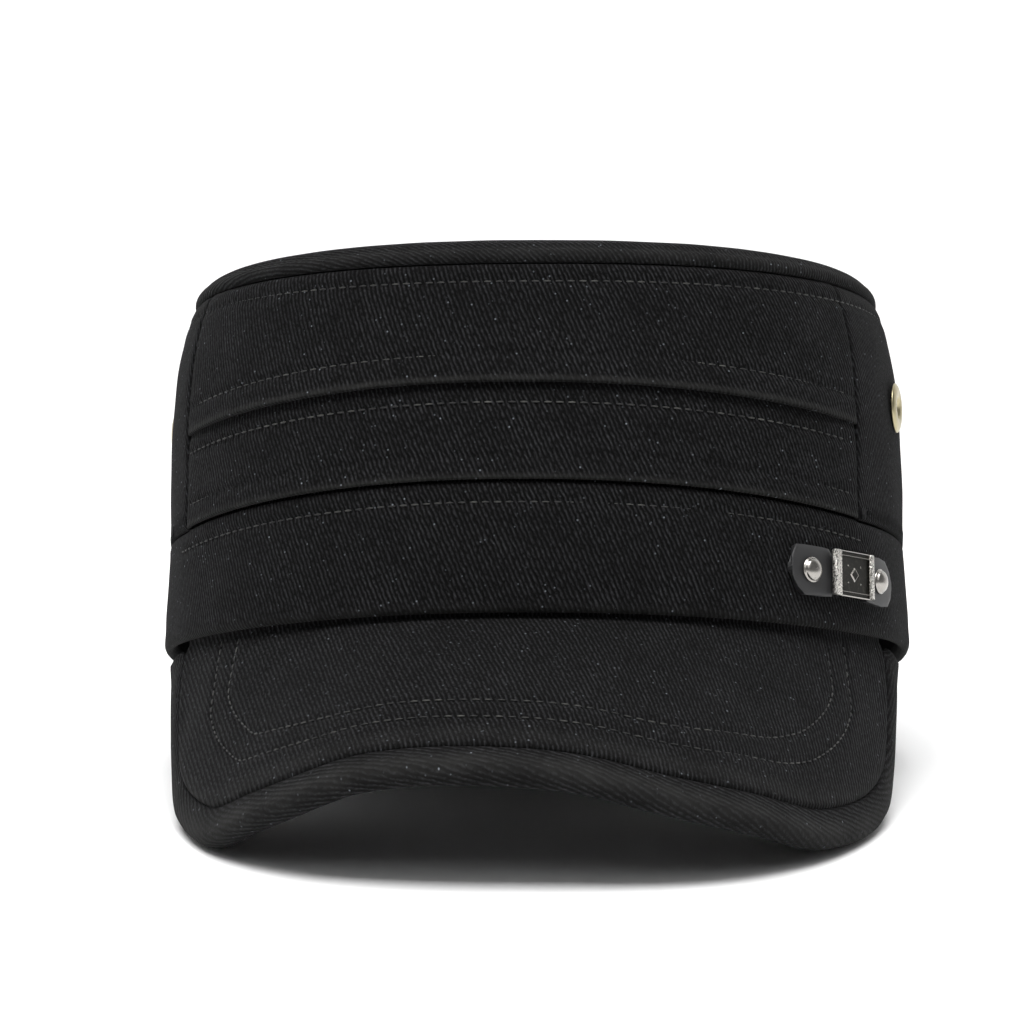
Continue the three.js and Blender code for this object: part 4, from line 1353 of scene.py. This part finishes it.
def make_stage(colours):
    """A round white paper sweep and the soft studio lights."""
    bm = bmesh.new()
    radius, sweep, height = 3.2, 1.4, 4.0
    profile = [(0.0, 0.0), (0.4, 0.0), (1.0, 0.0), (radius - sweep, 0.0)]
    for k in range(1, 13):
        angle = math.pi / 2 * k / 12
        profile.append((radius - sweep + sweep * math.sin(angle), sweep * (1 - math.cos(angle))))
    profile.append((radius, height))
    verts = [bm.verts.new((x, 0.0, z)) for x, z in profile]
    edges = [bm.edges.new(pair) for pair in zip(verts, verts[1:])]
    bmesh.ops.spin(bm, geom=verts + edges, cent=(0, 0, 0), axis=(0, 0, 1), angle=2 * math.pi,
                   steps=96, use_merge=True)
    bmesh.ops.remove_doubles(bm, verts=bm.verts, dist=0.1 * MM)
    bmesh.ops.recalc_face_normals(bm, faces=bm.faces)
    if min(bm.faces, key=lambda f: f.calc_center_median().length).normal.z < 0:
        bmesh.ops.reverse_faces(bm, faces=bm.faces)
    mesh = bpy.data.meshes.new("paper_sweep")
    bm.to_mesh(mesh)
    bm.free()
    mesh.polygons.foreach_set("use_smooth", [True] * len(mesh.polygons))
    mesh.materials.append(backdrop_paper(colours))
    sweep_object = bpy.data.objects.new("paper_sweep", mesh)
    bpy.context.scene.collection.objects.link(sweep_object)

    world = bpy.data.worlds.new("studio")
    world.use_nodes = True
    sky = world.node_tree.nodes["Background"]
    sky.inputs["Color"].default_value = (1.0, 1.0, 1.0, 1.0)
    sky.inputs["Strength"].default_value = 0.38
    bpy.context.scene.world = world
    target = (0.0, 0.0, 0.06)
    add_area_light("top_softbox", (-0.1, -0.6, 1.7), target, (1.6, 1.0), 42.0)
    add_area_light("front_fill", (0.1, -1.8, 1.4), target, (1.2, 0.8), 4.0)
    add_area_light("paper_light", (0.0, 1.5, 2.6), (0.0, 3.2, 0.7), (2.4, 0.6), 38.0)
    add_area_light("left_rim", (-1.6, 0.9, 1.0), target, (0.5, 1.2), 0.8)
    add_area_light("right_rim", (1.6, 0.9, 1.0), target, (0.5, 1.2), 0.8)


def place_camera(view):
    """The camera at the photograph's angle and distance, rolled as it was."""
    azimuth, elevation = math.radians(view.azimuth), math.radians(view.elevation)
    away = Vector((math.sin(azimuth) * math.cos(elevation), -math.cos(azimuth) * math.cos(elevation),
                   math.sin(elevation)))
    aim = Vector((view.aim_x, view.aim_y, view.aim_z))
    ahead = -away
    right = ahead.cross(Vector((0, 0, 1))).normalized()
    up = right.cross(ahead)
    roll = math.radians(view.roll)
    right, up = right * math.cos(roll) - up * math.sin(roll), up * math.cos(roll) + right * math.sin(roll)
    lens = bpy.data.cameras.new("portrait")
    lens.lens = view.lens
    lens.sensor_width = 36.0
    lens.clip_start = 0.01
    lens.clip_end = 50.0
    camera = bpy.data.objects.new("portrait", lens)
    turned = Matrix((right, up, -ahead)).transposed().to_4x4()
    camera.matrix_world = Matrix.Translation(aim + away * view.distance) @ turned
    bpy.context.scene.collection.objects.link(camera)
    bpy.context.scene.camera = camera


class CAP_OT_crown(bpy.types.Operator):
    """Make the crown's cloth: front bands, sides and back, foot band and top"""

    bl_idname = "cap.crown"
    bl_label = "Make Crown"

    def execute(self, context):
        scene = context.scene
        shape = CapShape(scene.cap_sizes)
        rows = crown_stitch_rows(shape, scene.cap_stitches)
        make_front_bands(shape, rows, scene.cap_colours)
        make_crown_back(shape, rows, scene.cap_colours)
        make_outer_band(shape, rows, scene.cap_colours)
        make_top_panel(shape, scene.cap_stitches, scene.cap_colours)
        return {"FINISHED"}


class CAP_OT_brim(bpy.types.Operator):
    """Make the brim's cover and the strip round its edge"""

    bl_idname = "cap.brim"
    bl_label = "Make Brim"

    def execute(self, context):
        scene = context.scene
        shape = CapShape(scene.cap_sizes)
        make_brim_cover(shape, brim_stitch_rows(shape, scene.cap_stitches), scene.cap_colours)
        make_brim_binding(shape, scene.cap_colours)
        return {"FINISHED"}


class CAP_OT_stitches(bpy.types.Operator):
    """Make the machine stitches on the crown and the brim"""

    bl_idname = "cap.stitches"
    bl_label = "Make Stitches"

    def execute(self, context):
        scene = context.scene
        shape = CapShape(scene.cap_sizes)
        stitches = scene.cap_stitches
        rows = list(crown_stitch_rows(shape, stitches).values()) + [top_stitch_row(shape, stitches)]
        make_stitching(shape, rows, brim_stitch_rows(shape, stitches), stitches, scene.cap_colours)
        return {"FINISHED"}


class CAP_OT_badge(bpy.types.Operator):
    """Make the badge: strap, plate and rivets"""

    bl_idname = "cap.badge"
    bl_label = "Make Badge"

    def execute(self, context):
        scene = context.scene
        shape = CapShape(scene.cap_sizes)
        make_strap(shape, scene.cap_badge, scene.cap_colours)
        make_plate(shape, scene.cap_badge, scene.cap_colours)
        make_rivets(shape, scene.cap_badge, scene.cap_colours)
        return {"FINISHED"}


class CAP_OT_eyelets(bpy.types.Operator):
    """Make the brass eyelets"""

    bl_idname = "cap.eyelets"
    bl_label = "Make Eyelets"

    def execute(self, context):
        make_eyelets(CapShape(context.scene.cap_sizes), context.scene.cap_colours)
        return {"FINISHED"}


class CAP_OT_stage(bpy.types.Operator):
    """Set up the paper sweep, the lights and the camera"""

    bl_idname = "cap.stage"
    bl_label = "Set Stage"

    def execute(self, context):
        make_stage(context.scene.cap_colours)
        place_camera(context.scene.cap_view)
        context.scene.view_settings.view_transform = "Standard"
        return {"FINISHED"}


class CAP_PT_panel(bpy.types.Panel):
    """The cap's steps and sizes"""

    bl_idname = "CAP_PT_panel"
    bl_label = "Flat-Top Cap"
    bl_space_type = "VIEW_3D"
    bl_region_type = "UI"
    bl_category = "Cap"

    def draw(self, context):
        for step in STEPS:
            self.layout.operator(step.bl_idname)
        for group in (context.scene.cap_sizes, context.scene.cap_badge, context.scene.cap_stitches,
                      context.scene.cap_colours, context.scene.cap_view):
            box = self.layout.box()
            for name in type(group).__annotations__:
                box.prop(group, name)


STEPS = (CAP_OT_crown, CAP_OT_brim, CAP_OT_stitches, CAP_OT_badge, CAP_OT_eyelets, CAP_OT_stage)
CLASSES = (CapSizes, BadgeSizes, StitchSizes, CapColours, CapView, *STEPS, CAP_PT_panel)


def register():
    for cls in CLASSES:
        bpy.utils.register_class(cls)
    bpy.types.Scene.cap_sizes = PointerProperty(type=CapSizes)
    bpy.types.Scene.cap_badge = PointerProperty(type=BadgeSizes)
    bpy.types.Scene.cap_stitches = PointerProperty(type=StitchSizes)
    bpy.types.Scene.cap_colours = PointerProperty(type=CapColours)
    bpy.types.Scene.cap_view = PointerProperty(type=CapView)


def unregister():
    for name in ("cap_view", "cap_colours", "cap_stitches", "cap_badge", "cap_sizes"):
        delattr(bpy.types.Scene, name)
    for cls in reversed(CLASSES):
        bpy.utils.unregister_class(cls)


def main():
    register()
    bpy.ops.cap.crown()
    bpy.ops.cap.brim()
    bpy.ops.cap.stitches()
    bpy.ops.cap.badge()
    bpy.ops.cap.eyelets()
    bpy.ops.cap.stage()


if __name__ == "__main__":
    main()
